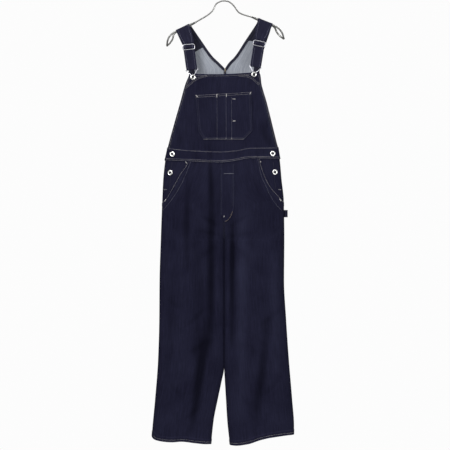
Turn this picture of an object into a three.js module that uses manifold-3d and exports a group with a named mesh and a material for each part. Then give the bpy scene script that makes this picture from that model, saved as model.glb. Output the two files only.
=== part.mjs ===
// Denim dungarees hanging on a bent wire hanger, in millimetres.
// X runs to the viewer's right, Y away from the viewer and Z up.
// The origin is the underside of the hanger's arch, where it is held.
import * as THREE from "three";
import { mergeVertices } from "three/addons/utils/BufferGeometryUtils.js";
import Module from "manifold-3d";

const wasm = await Module();
wasm.setup();

// Cloth and gaps
const DENIM = 1.6; // wall of one panel
const HEM_EXTRA = 0.9; // a turned hem stands this much further out
const HEM_HEIGHT = 20;
const STRAP_THICK = 1.8;
const FLY_THICK = 1.2;
const SEAM = 0.3; // gap between two panels at a seam
const LAY_GAP = 0.45; // gap under a piece that lies on a panel
const ROUNDNESS = 0.8; // below 1 the sections are fuller than an ellipse

// Heights
const BIB_FOOT = -507.7;
const LEG_HEAD = -508;
const BACK_SEAM = -500;
const WAIST = -507;
const WAIST_STIFF = 34; // folds fade out within this distance of the waist
const SCOOP_FOOT = -664;
const LEG_UPPER_FOOT = -680; // the legs' rows are level above this and slope to the hem below it
const CROTCH_TOP = -690;
const CROTCH = -787;

// Metal
const HANGER_WIRE = 2; // radius
const LOOP_HALF_DEPTH = 17; // from the middle to each strand of a shoulder loop
const LOOP_BOW = { front: 7, back: -5 }; // how far each strand bows outward near the tip
const LOOP_START = 46; // where a loop begins, inward along the arm from the strap's middle
const LOOP_TURN = 33; // where its strands turn down to the tip, outward from there
const ARM_JOINT = 43; // where the arch's wire meets the loop
const CLIP_HALF = 1.3; // half the thickness of a clip's wire
const CLIP_BAR = 17.8; // half the length of a clip's top bar
const CLIP_DROP = 27; // from the bar to the button's centre
const CLIP_RING = 6.6;
const CLIP_CORNER = 2.6;
const CLIP_LIFT = 0.7; // gap between the clip and the bib
const SLIDER = { width: 43, height: 20.5, bar: 2.4, thick: 2.4, corner: 4, lift: 1.6 };
const BUTTON = 9.3; // radius
const BUTTON_LIFT = 0.35; // gap between a bib button's shank and the bib
const SIDE_LIFT = 0.6; // the same for a side button
const SIDE_SHANK = 0.9;

// Straps round the metal
const BAR_GAP = 0.4; // between the strap and the clip's bar
const WIRE_GAP = 0.6; // between the strap and the hanger
const HORN_GAP = 4.5; // between the hanger and the head of the back under it

function table(columns, rows) {
  return rows.map((row) => Object.fromEntries(columns.map((name, i) => [name, row[i]])));
}

// Front and trousers: the side edges, how far the edge stands forward, and the further bulge
const FRONT_SECTIONS = table(
  ["z", "left", "right", "edge", "bulge"],
  [
    [-232, -114, 112, 22, 5],
    [-246, -119, 117, 22, 6],
    [-272, -130, 120, 21, 8],
    [-299, -138, 127, 20, 9],
    [-325, -145, 135, 18, 11],
    [-391, -164, 152, 12, 18],
    [-457, -182, 168, 4, 27],
    [-490, -190, 176, 0, 32],
    [-523, -197, 181, 0, 33],
    [-589, -204, 187, 0, 34],
    [-655, -207, 194, 0, 35],
    [-787, -212, 196, 0, 35],
    [-919, -216, 195, 0, 33],
    [-1051, -217, 202, 0, 32],
    [-1183, -221, 211, 0, 32],
    [-1315, -231, 222, 0, 34],
    [-1400, -239, 228, 0, 36],
    [-1465, -244, 226, 0, 38],
  ],
);

// Back above the waist: the armhole edges
const BACK_SECTIONS = table(
  ["z", "left", "right", "edge", "bulge"],
  [
    [-50, -168, 160, 17.6, 0.6],
    [-94, -158, 150, 17.6, 0.8],
    [-127, -145, 139, 17.6, 1],
    [-160, -135, 128, 18, 2],
    [-193, -128, 119, 19, 4],
    [-240, -119, 114, 20, 7],
    [-292, -133, 122, 20, 11],
    [-358, -153, 142, 15, 16],
    [-424, -171, 158, 8, 24],
    [-490, -190, 176, 0, 32],
    [-523, -197, 181, 0, 34],
    [-589, -204, 187, 0, 38],
    [-655, -207, 194, 0, 40],
    [-787, -212, 196, 0, 38],
    [-919, -216, 195, 0, 34],
    [-1051, -217, 202, 0, 33],
    [-1183, -221, 211, 0, 33],
    [-1315, -231, 222, 0, 35],
    [-1400, -239, 228, 0, 36],
    [-1465, -244, 226, 0, 38],
  ],
);

// Centre seams down to the crotch, then the two inseams
const INNER_EDGES = table(
  ["z", "left", "right"],
  [
    [-50, 0, 0],
    [-500, -2, -2],
    [-787, -3, -3],
    [-830, -3.4, -2.6],
    [-1200, -3.8, -2.2],
    [-1249, -10, -1],
    [-1315, -24, 3],
    [-1381, -37, 7],
    [-1465, -46, 16],
  ],
);

// The V neck's two edges
const NECK_EDGES = table(
  ["z", "left", "right"],
  [
    [-50, -130, 117],
    [-74, -115, 103],
    [-127, -79, 68],
    [-180, -41, 33],
    [-206, -17, 11],
    [-224, 0, 0],
  ],
);

// Pocket mouths: the scoop's edge from the waistband to the side seam
const SCOOP_EDGES = table(
  ["z", "left", "right"],
  [
    [-508, -116, 110],
    [-538, -126, 118],
    [-569, -147, 128],
    [-612, -171, 150],
    [-643, -189, 177],
    [-664, -207, 196],
  ],
);

// Hems, q from the outseam to the inseam
const HEMS = table(
  ["q", "left", "right"],
  [
    [0, -1432, -1428],
    [0.2, -1447, -1430],
    [0.4, -1452, -1437],
    [0.5, -1450, -1444],
    [0.65, -1455, -1459],
    [0.8, -1459, -1464],
    [1, -1460, -1462],
  ],
);

const WAISTBAND = table(
  ["x", "top", "foot"],
  [
    [-198, -481, -525],
    [-113, -490, -529],
    [-12, -494, -533],
    [49, -488, -525],
    [76, -482, -519],
    [182, -480, -520],
  ],
);

// Bib pocket: its side edges, with the lower corners cut off
const POCKET = table(
  ["z", "left", "right"],
  [
    [-306, -97, 87],
    [-426, -88, 91],
    [-454, -70, 62],
  ],
);
const POCKET_HEAD = { left: -312, right: -301 }; // the opening's height at its two ends

const FLY = table(
  ["x", "foot"],
  [
    [-15, -706],
    [-8, -717],
    [0, -728],
    [9, -724],
    [17, -717],
    [25, -700],
    [31, -676],
  ],
);
const FLY_HEAD = -536;

// Troughs (depth above 0) and ridges (below 0) that run from one point to the other
const FRONT_FOLDS = table(
  ["x1", "z1", "x2", "z2", "width", "depth"],
  [
    [-44, -530, -46, -1180, 13, 7],
    [-52, -1040, -115, -1440, 15, 7],
    [-124, -560, -128, -900, 10, 4],
    [-92, -620, -86, -1330, 18, -5],
    [-165, -720, -190, -1300, 16, 3],
    [24, -700, 22, -1180, 10, 6],
    [60, -600, 52, -1400, 20, -6],
    [118, -560, 124, -1120, 12, 6],
    [150, -1000, 92, -1450, 16, 7],
    [160, -760, 172, -1250, 18, -4],
    [-140, -420, -172, -560, 12, 4],
    [120, -400, 150, -500, 12, 3],
  ],
);
const BACK_FOLDS = table(
  ["x1", "z1", "x2", "z2", "width", "depth"],
  [
    [60, -560, 70, -980, 14, 6],
    [-70, -540, -62, -1010, 15, 6],
    [-130, -700, -150, -1300, 18, 5],
    [120, -820, 100, -1400, 17, 6],
    [-95, -900, -80, -1380, 18, -5],
    [150, -560, 160, -900, 16, -4],
    [-40, -240, -60, -420, 14, 4],
    [45, -260, 62, -450, 14, 4],
  ],
);

const FRONT = { sections: FRONT_SECTIONS, folds: FRONT_FOLDS, sign: -1 };
const BACK = { sections: BACK_SECTIONS, folds: BACK_FOLDS, sign: 1 };

// Straps: the button, the tilt of clip and slider, and where the strap crosses the hanger
const STRAPS = {
  left: {
    button: [-105.6, -251],
    clipTilt: 8,
    slider: [-118.8, -149.5],
    sliderTilt: 5,
    shoulder: [-138.6, -89],
    shoulderTilt: 25.7,
    shoulderHalf: 24,
    end: [-115, -152],
    loopTip: [-191, -146],
  },
  right: {
    button: [95.7, -242],
    clipTilt: -10.7,
    slider: [113.2, -138],
    sliderTilt: -12,
    shoulder: [132.2, -69],
    shoulderTilt: -21.8,
    shoulderHalf: 25.5,
    end: [108, -136],
    loopTip: [194, -123],
  },
};

// The hanger's arch and the heads of its arms, from left to right
const ARCH = [
  [-54.5, -43],
  [-39.6, -28.5],
  [-29.7, -9],
  [-15, 0],
  [0, HANGER_WIRE],
  [15, -2],
  [29.7, -15],
  [46.2, -36.5],
];

// Side buttons: two on the waistband's ends and two on the hip pieces
const SIDE_BUTTONS = {
  side_button_left_upper: { x: -170.5, z: -504, on: "waistband" },
  side_button_left_lower: { x: -181.5, z: -565, on: "left" },
  side_button_right_upper: { x: 154, z: -502, on: "waistband" },
  side_button_right_lower: { x: 165, z: -563, on: "right" },
};

const FACET_SAG = 0.75; // the hip piece's facets lie this far inside its true curve

const HAMMER = { top: -688, foot: -712, reach: 12, length: 46 };

// Value of one column at a key, on a smooth curve that never overshoots its rows
function at(rows, column, key, keyName = "z") {
  const last = rows.length - 1;
  const down = rows[last][keyName] < rows[0][keyName] ? -1 : 1;
  if (down * (key - rows[0][keyName]) <= 0) return rows[0][column];
  if (down * (key - rows[last][keyName]) >= 0) return rows[last][column];
  const i = rows.findIndex((row, k) => down * (rows[k + 1][keyName] - key) >= 0);
  const span = (k) => rows[k + 1][keyName] - rows[k][keyName];
  const slope = (k) => (rows[k + 1][column] - rows[k][column]) / span(k);
  const tangent = (k) => {
    if (k === 0) return slope(0);
    if (k === last) return slope(last - 1);
    const before = slope(k - 1);
    const after = slope(k);
    return before * after <= 0 ? 0 : (2 * before * after) / (before + after);
  };
  const t = (key - rows[i][keyName]) / span(i);
  const a = 2 * t ** 3 - 3 * t ** 2 + 1;
  const b = t ** 3 - 2 * t ** 2 + t;
  const c = t ** 3 - t ** 2;
  return (
    a * rows[i][column] +
    (1 - a) * rows[i + 1][column] +
    span(i) * (b * tangent(i) + c * tangent(i + 1))
  );
}

function smooth(t) {
  const k = Math.min(Math.max(t, 0), 1);
  return k * k * (3 - 2 * k);
}

// 1 where left and right are one tube, falling to 0 at the crotch
function joined(z) {
  if (z >= CROTCH_TOP) return 1;
  if (z <= CROTCH) return 0;
  return Math.sqrt(1 - ((CROTCH_TOP - z) / (CROTCH_TOP - CROTCH)) ** 2);
}

// How far the folds press the cloth in at a point
function foldDepth(folds, x, z) {
  let depth = 0;
  for (const f of folds) {
    const dx = f.x2 - f.x1;
    const dz = f.z2 - f.z1;
    const length = Math.hypot(dx, dz);
    const along = ((x - f.x1) * dx + (z - f.z1) * dz) / length ** 2;
    if (along <= 0 || along >= 1) continue;
    const across = ((x - f.x1) * dz - (z - f.z1) * dx) / length;
    depth += f.depth * Math.exp(-((across / f.width) ** 2)) * Math.sin(Math.PI * along) ** 0.7;
  }
  // The doubled cloth of the waistband lies flat
  return depth * (1 - Math.exp(-(((z - WAIST) / WAIST_STIFF) ** 2)));
}

// A point of one half of the front or back; q is 0 at the side and 1 at the centre or inseam,
// and off is how far the point stands out from the panel's face
function halfPoint(face, side, q, z, off) {
  const outward = side === "left" ? -1 : 1;
  const edgeX = at(face.sections, side, z);
  const innerX = at(INNER_EDGES, side, z) + (outward * SEAM) / 2;
  const open = joined(z);
  const turn = Math.PI * Math.min(q, 1);
  const along = open * (1 - Math.cos(turn / 2)) + (1 - open) * (0.5 - 0.5 * Math.cos(turn));
  const lift = open * Math.sin(turn / 2) + (1 - open) * Math.sin(turn);
  const rise = Math.max(lift, 0) ** ROUNDNESS;
  const sideways = open * Math.cos(turn / 2) + (1 - open) * Math.cos(turn);
  const edge = at(face.sections, "edge", z);
  const flat = Math.min(edge / 10, 1);
  const x = edgeX + (innerX - edgeX) * along;
  const fade = smooth(q / 0.14) * (1 - (1 - open) * smooth((q - 0.86) / 0.14));
  const depth =
    edge +
    at(face.sections, "bulge", z) * rise +
    off * (rise + (1 - rise) * flat) -
    fade * foldDepth(face.folds, x, z);
  return new THREE.Vector3(
    x + outward * off * (1 - flat) * sideways,
    face.sign * (depth + SEAM / 2),
    z,
  );
}

// The q at which a half reaches an x
function halfAcross(face, side, x, z) {
  let low = 0;
  let high = 1;
  const towards = side === "left" ? 1 : -1;
  for (let i = 0; i < 30; i++) {
    const middle = (low + high) / 2;
    if (towards * (halfPoint(face, side, middle, z, 0).x - x) < 0) low = middle;
    else high = middle;
  }
  return (low + high) / 2;
}

// A point of the whole face at x and z
function facePoint(face, x, z, off) {
  const side = x < at(INNER_EDGES, "left", z) ? "left" : "right";
  return halfPoint(face, side, halfAcross(face, side, x, z), z, off);
}

function faceNormal(face, x, z) {
  const p = facePoint(face, x, z, 0);
  const across = facePoint(face, x + 2, z, 0).sub(p);
  const down = facePoint(face, x, z - 2, 0).sub(p);
  return across.cross(down).normalize().multiplyScalar(face.sign);
}

function enclosedVolume(points, indices) {
  let volume = 0;
  for (let i = 0; i < indices.length; i += 3) {
    const [a, b, c] = [points[indices[i]], points[indices[i + 1]], points[indices[i + 2]]];
    volume += a.dot(new THREE.Vector3().crossVectors(b, c)) / 6;
  }
  return volume;
}

// A closed wall between two grids of points, rows by columns
function wall(outer, inner) {
  const rows = outer.length;
  const columns = outer[0].length;
  const points = [...outer.flat(), ...inner.flat()];
  const front = (i, j) => i * columns + j;
  const back = (i, j) => rows * columns + front(i, j);
  const indices = [];
  const quad = (a, b, c, d) => indices.push(a, b, c, a, c, d);
  for (let i = 0; i + 1 < rows; i++) {
    for (let j = 0; j + 1 < columns; j++) {
      quad(front(i, j), front(i, j + 1), front(i + 1, j + 1), front(i + 1, j));
      quad(back(i, j), back(i + 1, j), back(i + 1, j + 1), back(i, j + 1));
    }
    const end = columns - 1;
    quad(front(i, 0), front(i + 1, 0), back(i + 1, 0), back(i, 0));
    quad(front(i, end), back(i, end), back(i + 1, end), front(i + 1, end));
  }
  for (let j = 0; j + 1 < columns; j++) {
    const foot = rows - 1;
    quad(front(0, j), back(0, j), back(0, j + 1), front(0, j + 1));
    quad(front(foot, j), front(foot, j + 1), back(foot, j + 1), back(foot, j));
  }
  if (enclosedVolume(points, indices) < 0) indices.reverse();
  const geometry = new THREE.BufferGeometry().setFromPoints(points);
  geometry.setIndex(indices);
  return geometry;
}

function grid(rows, columns, place) {
  return rows.map((v) => columns.map((u) => place(u, v)));
}

function steps(count, from = 0, to = 1) {
  return Array.from({ length: count + 1 }, (_, i) => from + ((to - from) * i) / count);
}

const mesh = {};
function add(name, geometry, material) {
  mesh[name] = new THREE.Mesh(geometry, material());
  mesh[name].name = name;
}

function denim() {
  return new THREE.MeshStandardMaterial({ color: 0x222232, roughness: 0.92, metalness: 0 });
}

function steel() {
  return new THREE.MeshStandardMaterial({ color: 0xc9c9c6, roughness: 0.3, metalness: 1 });
}

// Height of a leg's point: level rows through the scoop, then rows that end on the hem
const LEG_UPPER = steps(8, LEG_HEAD, LEG_UPPER_FOOT);
const SEAT_UPPER = steps(6, BACK_SEAM, LEG_UPPER_FOOT);

function legLevels(upper, lowerCount) {
  const lower = [...steps(lowerCount, 0, 0.965).slice(1), 0.985, 1];
  return [
    ...upper.map((z) => () => z),
    ...lower.map((w) => (side, q) => {
      return LEG_UPPER_FOOT + (at(HEMS, side, q, "q") - LEG_UPPER_FOOT) * w;
    }),
  ];
}

function scoopStart(side, z) {
  if (z <= SCOOP_FOOT) return 0;
  return halfAcross(FRONT, side, at(SCOOP_EDGES, side, z), z);
}

function hemOff(side, q, z) {
  const height = z - at(HEMS, side, q, "q");
  return HEM_EXTRA * (1 - smooth((height - HEM_HEIGHT) / 6));
}

function frontLeg(side) {
  const layer = (off, hem) =>
    grid(legLevels(LEG_UPPER, 16), steps(14), (u, level) => {
      const flatZ = level(side, u);
      const start = scoopStart(side, flatZ);
      const q = start + (1 - start) * u;
      const z = level(side, q);
      return halfPoint(FRONT, side, q, z, off + hem * hemOff(side, q, z));
    });
  add("front_leg_" + side, wall(layer(0, 1), layer(-DENIM, 0)), denim);
}

// How far the hip piece's face lies under the panels' faces: flush at the side seam, and
// under the leg's cloth at the scoop
const HIP_TURN = 0.7;
function hipSink(side, q, z) {
  const start = scoopStart(side, z);
  const share = start < 0.05 ? 1 : Math.min(q / start / HIP_TURN, 1);
  return (DENIM + LAY_GAP) * share;
}

function hipPiece(side) {
  const shares = [0, HIP_TURN / 2, HIP_TURN, 1, 1.12];
  const layer = (off) =>
    grid(LEG_UPPER.slice(0, -1), shares, (share, z) => {
      const q = share * Math.max(scoopStart(side, z), 0.12);
      return halfPoint(FRONT, side, q, z, off - hipSink(side, q, z));
    });
  add("hip_piece_" + side, wall(layer(0), layer(-DENIM)), denim);
}

function backLeg(side) {
  const layer = (off, hem) =>
    grid(legLevels(SEAT_UPPER, 15), steps(12), (q, level) => {
      const z = level(side, q);
      return halfPoint(BACK, side, q, z, off + hem * hemOff(side, q, z));
    });
  add("back_leg_" + side, wall(layer(0, 1), layer(-DENIM, 0)), denim);
}

// The back above the waist, from the armhole to the V neck and the centre seam
function backBib(side) {
  const s = STRAPS[side];
  const tilt = Math.tan(THREE.MathUtils.degToRad(s.shoulderTilt));
  const headAt = (x) => s.shoulder[1] + (x - s.shoulder[0]) * tilt - HANGER_WIRE - HORN_GAP;
  const neckFoot = NECK_EDGES[NECK_EDGES.length - 1].z;
  const innerQ = (z) => {
    const neck = at(NECK_EDGES, side, z);
    return z > neckFoot ? halfAcross(BACK, side, neck, z) : 1;
  };
  // Rows down the horn end level with the V's foot, and rows below it on the back seam
  const levels = [
    ...steps(7).map((w) => (x) => headAt(x) + (neckFoot - headAt(x)) * w),
    ...steps(9, neckFoot, BACK_SEAM + SEAM)
      .slice(1)
      .map((z) => () => z),
  ];
  const layer = (off) =>
    grid(levels, steps(9), (u, level) => {
      let z = level(s.shoulder[0]);
      // The head slopes with the hanger's arm, so x and z settle together
      for (let i = 0; i < 8; i++) z = level(halfPoint(BACK, side, u * innerQ(z), z, 0).x);
      return halfPoint(BACK, side, u * innerQ(z), z, off);
    });
  add("back_bib_" + side, wall(layer(0), layer(-DENIM)), denim);
}

function bibTop(x) {
  return -240.7 + 0.0278 * x + 0.000373 * x * x;
}

function bib() {
  const layer = (off) =>
    grid(steps(14), steps(20, 0, 2), (u, v) => {
      const side = u <= 1 ? "left" : "right";
      const q = u <= 1 ? u : 2 - u;
      const top = bibTop(halfPoint(FRONT, side, q, -240, 0).x);
      const z = top + (BIB_FOOT - top) * v;
      // The two halves meet in one sheet at the centre
      const p = halfPoint(FRONT, side, q, z, off);
      if (q === 1) p.x = at(INNER_EDGES, "left", z);
      return p;
    });
  add("bib", wall(layer(0), layer(-DENIM)), denim);
}

function bibPocket() {
  const levels = [...steps(6, 0, 0.8), 0.9, 1];
  const layer = (off) =>
    grid(levels, steps(10), (u, v) => {
      const level = POCKET[0].z + (POCKET[2].z - POCKET[0].z) * v;
      const left = pocketEdge("left", level);
      const x = left + (pocketEdge("right", level) - left) * u;
      const head = POCKET_HEAD.left + (POCKET_HEAD.right - POCKET_HEAD.left) * u;
      const z = head + (POCKET[2].z - head) * v;
      return facePoint(FRONT, x, z, off);
    });
  add("bib_pocket", wall(layer(LAY_GAP + DENIM), layer(LAY_GAP)), denim);
}

function pocketEdge(side, z) {
  const [head, corner, foot] = POCKET;
  const share =
    z > corner.z ? (z - head.z) / (corner.z - head.z) : (z - corner.z) / (foot.z - corner.z);
  const [from, to] = z > corner.z ? [head, corner] : [corner, foot];
  return from[side] + (to[side] - from[side]) * share;
}

function frontWaistband() {
  const layer = (off) =>
    grid(steps(3), steps(20, 0, 2), (u, v) => {
      const side = u <= 1 ? "left" : "right";
      const q = u <= 1 ? u : 2 - u;
      const x = halfPoint(FRONT, side, q, -505, 0).x;
      const top = at(WAISTBAND, "top", x, "x");
      const z = top + (at(WAISTBAND, "foot", x, "x") - top) * v;
      const p = halfPoint(FRONT, side, q, z, off);
      if (q === 1) p.x = at(INNER_EDGES, "left", z);
      return p;
    });
  add("front_waistband", wall(layer(LAY_GAP + DENIM), layer(LAY_GAP)), denim);
}

function fly() {
  const layer = (off) =>
    grid(steps(7), steps(8), (u, v) => {
      const x = FLY[0].x + (FLY[FLY.length - 1].x - FLY[0].x) * u;
      const z = FLY_HEAD + (at(FLY, "foot", x, "x") - FLY_HEAD) * v;
      return facePoint(FRONT, x, z, off);
    });
  add("fly", wall(layer(LAY_GAP + FLY_THICK), layer(LAY_GAP)), denim);
}

// A flat band along a path; each station has a centre, a width direction and a half width
function ribbon(stations, thick) {
  const side = (sign) =>
    stations.map((s, i) => {
      const before = stations[Math.max(i - 1, 0)].centre;
      const after = stations[Math.min(i + 1, stations.length - 1)].centre;
      const normal = after.clone().sub(before).cross(s.width).normalize();
      const middle = s.centre.clone().addScaledVector(normal, (sign * thick) / 2);
      return [-1, 1].map((edge) => middle.clone().addScaledVector(s.width, edge * s.half));
    });
  return wall(side(1), side(-1));
}

function tilted(degrees) {
  const a = THREE.MathUtils.degToRad(degrees);
  return {
    width: new THREE.Vector3(Math.cos(a), 0, Math.sin(a)),
    up: new THREE.Vector3(-Math.sin(a), 0, Math.cos(a)),
  };
}

// Where a side's button, clip bar, slider and hanger crossing lie in space
function strapPlaces(side) {
  const s = STRAPS[side];
  const [bx, bz] = s.button;
  const seat = facePoint(FRONT, bx, bz, 0);
  const clipY = seat.y - CLIP_LIFT - CLIP_HALF;
  const button = new THREE.Vector3(bx, clipY, bz);
  const bar = button.clone().addScaledVector(tilted(s.clipTilt).up, CLIP_DROP);
  const slider = new THREE.Vector3(s.slider[0], clipY - SLIDER.lift, s.slider[1]);
  const shoulder = new THREE.Vector3(s.shoulder[0], 0, s.shoulder[1]);
  return { seat, button, bar, slider, shoulder };
}

const STRAP_HALF = 20; // half the strap's width where it hangs free
const WEAVE = 3; // how far the strap bends round each bar of the slider
const BAR_STEP = SLIDER.height / 2 - SLIDER.bar / 2; // centre bar to outer bar

// Bend of the strap at a distance from the slider's centre bar, behind an outer bar above 0
function weave(distance) {
  const d = Math.abs(distance);
  if (d <= BAR_STEP) return -WEAVE * Math.cos((Math.PI * d) / BAR_STEP);
  if (d >= BAR_STEP + 10) return 0;
  return WEAVE * (0.5 + 0.5 * Math.cos((Math.PI * (d - BAR_STEP)) / 10));
}

function strapStations(side) {
  const s = STRAPS[side];
  const { bar, slider, shoulder } = strapPlaces(side);
  const round = CLIP_HALF + BAR_GAP + STRAP_THICK / 2;
  const length = Math.hypot(slider.x - bar.x, slider.z - bar.z);
  const stations = [];
  const put = (centre, tilt, half) =>
    stations.push({ centre, width: tilted(tilt).width, half });
  const mix = (a, b, t) => a + (b - a) * t;
  // Half widths: gathered at the clip's bar and at the slider
  const halfAt = (d) =>
    Math.min(mix(14.2, 17.8, smooth(d / 14)), mix(17.1, 22, smooth((d - length - 8) / 40)));
  const lower = (d, behind) => {
    const t = d / length;
    const depth = mix(bar.y - round, slider.y, smooth(d / 20)) + weave(d - length);
    const point = new THREE.Vector3(mix(bar.x, slider.x, t), depth + behind, mix(bar.z, slider.z, t));
    put(point, mix(s.clipTilt, s.sliderTilt, t), halfAt(d));
  };
  const returned = [length - 3.4, length - 5.5, length - 8, length - 11, length - 16, length - 24];
  for (const d of [...returned, 30, 15, 7]) lower(d, mix(2 * round, 2.9, smooth(d / 14)));
  for (const angle of steps(6, 0, Math.PI)) {
    const point = bar
      .clone()
      .addScaledVector(tilted(s.clipTilt).up, -round * Math.sin(angle))
      .add(new THREE.Vector3(0, round * Math.cos(angle), 0));
    put(point, s.clipTilt, halfAt(0));
  }
  const waved = [-16, -12, -BAR_STEP, -6, -4, -2, 0, 2, 4, 6, BAR_STEP, 12, 16];
  for (const d of [7, 15, 30, ...waved.map((w) => length + w)]) lower(d, 0);
  // From the slider up to the hanger, over its two strands and down the back
  const from = stations[stations.length - 1].centre;
  const over = HANGER_WIRE + WIRE_GAP + STRAP_THICK / 2;
  const { up } = tilted(s.shoulderTilt);
  const front = shoulder.clone().setY(-LOOP_HALF_DEPTH - over);
  for (const t of [0.25, 0.5, 0.75, 0.92]) {
    const point = from.clone().lerp(front, t);
    put(point, mix(s.sliderTilt, s.shoulderTilt, smooth(t)), mix(STRAP_HALF, s.shoulderHalf, t));
  }
  for (const angle of steps(4, 0, Math.PI / 2)) {
    const point = shoulder.clone().addScaledVector(up, over * Math.sin(angle));
    put(point.setY(-LOOP_HALF_DEPTH - over * Math.cos(angle)), s.shoulderTilt, s.shoulderHalf);
  }
  for (const angle of steps(4, Math.PI / 2, 0)) {
    const point = shoulder.clone().addScaledVector(up, over * Math.sin(angle));
    put(point.setY(LOOP_HALF_DEPTH + over * Math.cos(angle)), s.shoulderTilt, s.shoulderHalf);
  }
  const end = new THREE.Vector3(s.end[0], LOOP_HALF_DEPTH + over, s.end[1]);
  const behind = shoulder.clone().setY(LOOP_HALF_DEPTH + over);
  for (const t of [0.1, 0.4, 0.7, 1]) {
    const half = mix(s.shoulderHalf, STRAP_HALF, t);
    put(behind.clone().lerp(end, t), mix(s.shoulderTilt, s.sliderTilt, t), half);
  }
  return stations;
}

// A closed loop of round wire whose centre line lies in the X Z plane
function wireLoop(line, radius, sides = 6) {
  const points = [];
  const indices = [];
  const count = line.length;
  line.forEach((p, i) => {
    const before = line[(i + count - 1) % count];
    const after = line[(i + 1) % count];
    const run = after.clone().sub(before).normalize();
    for (let k = 0; k < sides; k++) {
      const a = (2 * Math.PI * k) / sides;
      const out = radius * Math.cos(a);
      points.push(new THREE.Vector3(p.x + run.y * out, radius * Math.sin(a), p.y - run.x * out));
    }
  });
  for (let i = 0; i < count; i++) {
    for (let k = 0; k < sides; k++) {
      const next = (k + 1) % sides;
      const here = i * sides;
      const ahead = ((i + 1) % count) * sides;
      indices.push(here + k, ahead + k, ahead + next, here + k, ahead + next, here + next);
    }
  }
  if (enclosedVolume(points, indices) < 0) indices.reverse();
  const geometry = new THREE.BufferGeometry().setFromPoints(points);
  geometry.setIndex(indices);
  return geometry;
}

function placeTilted(geometry, centre, degrees) {
  geometry.rotateY(-THREE.MathUtils.degToRad(degrees));
  geometry.translate(centre.x, centre.y, centre.z);
  return geometry;
}

// The wire hook: a bar for the strap, two sides drawn in, and a ring round the button
function clipLine() {
  const points = [];
  const corner = (sign, from, to) => {
    const x = sign * (CLIP_BAR - CLIP_CORNER);
    const y = CLIP_DROP - CLIP_CORNER;
    for (const a of steps(2, from, to)) {
      points.push(new THREE.Vector2(x + CLIP_CORNER * Math.cos(a), y + CLIP_CORNER * Math.sin(a)));
    }
  };
  corner(1, Math.PI / 2, 0);
  for (const a of steps(10, 0.32 * Math.PI, -1.32 * Math.PI)) {
    points.push(new THREE.Vector2(CLIP_RING * Math.cos(a), CLIP_RING * Math.sin(a)));
  }
  corner(-1, Math.PI, Math.PI / 2);
  return points.reverse();
}

function roundedBox(width, height, radius, count) {
  const points = [];
  const corners = [
    [1, 1, 0],
    [-1, 1, 1],
    [-1, -1, 2],
    [1, -1, 3],
  ];
  for (const [sx, sy, quarter] of corners) {
    for (const a of steps(count, 0, 1)) {
      const angle = ((quarter + a) * Math.PI) / 2;
      points.push(
        new THREE.Vector2(
          sx * (width / 2 - radius) + radius * Math.cos(angle),
          sy * (height / 2 - radius) + radius * Math.sin(angle),
        ),
      );
    }
  }
  return points;
}

function sliderGeometry() {
  const { width, height, bar, thick, corner } = SLIDER;
  const windowHeight = (height - 3 * bar) / 2;
  const shape = new THREE.Shape(roundedBox(width, height, corner, 3));
  shape.holes = [1, -1].map((sign) => {
    const hole = roundedBox(width - 2 * bar, windowHeight, 1.2, 1);
    const shift = (sign * (windowHeight + bar)) / 2;
    return new THREE.Path(hole.map((p) => new THREE.Vector2(p.x, p.y + shift)).reverse());
  });
  const geometry = new THREE.ExtrudeGeometry(shape, { depth: thick, bevelEnabled: false });
  geometry.translate(0, 0, -thick / 2);
  geometry.rotateX(Math.PI / 2);
  return geometry;
}

// A pressed button: a shank, a rolled rim and a sunk middle
function buttonGeometry(shank) {
  const profile = [
    [0, 0],
    [3.1, 0],
    [3.1, shank],
    [BUTTON - 0.9, shank],
    [BUTTON, shank + 0.9],
    [BUTTON - 0.6, shank + 2.1],
    [BUTTON - 2.8, shank + 2.7],
    [3.9, shank + 2.2],
    [3.1, shank + 1.2],
    [0, shank + 1],
  ];
  const points = profile.map(([r, h]) => new THREE.Vector2(r, h));
  return new THREE.LatheGeometry(points, 14);
}

function seatButton(name, centre, normal, shank) {
  const geometry = buttonGeometry(shank);
  const turn = new THREE.Quaternion().setFromUnitVectors(new THREE.Vector3(0, 1, 0), normal);
  geometry.applyQuaternion(turn);
  geometry.translate(centre.x, centre.y, centre.z);
  add(name, geometry, steel);
}

function fasteners(side) {
  const s = STRAPS[side];
  const { seat, button, slider } = strapPlaces(side);
  const forward = new THREE.Vector3(0, -1, 0);
  add("strap_" + side, ribbon(strapStations(side), STRAP_THICK), denim);
  add("slider_" + side, placeTilted(sliderGeometry(), slider, s.sliderTilt), steel);
  const clip = wireLoop(clipLine(), CLIP_HALF);
  add("clip_" + side, placeTilted(clip, button, s.clipTilt), steel);
  const seated = seat.clone().addScaledVector(forward, BUTTON_LIFT);
  seatButton("bib_button_" + side, seated, forward, CLIP_LIFT + 2 * CLIP_HALF);
}

function sideButtons() {
  for (const [name, b] of Object.entries(SIDE_BUTTONS)) {
    const normal = faceNormal(FRONT, b.x, b.z);
    const height =
      b.on === "waistband"
        ? LAY_GAP + DENIM
        : -hipSink(b.on, halfAcross(FRONT, b.on, b.x, b.z), b.z) - FACET_SAG;
    const centre = facePoint(FRONT, b.x, b.z, height).addScaledVector(normal, SIDE_LIFT);
    seatButton(name, centre, normal, SIDE_SHANK);
  }
}

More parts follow.
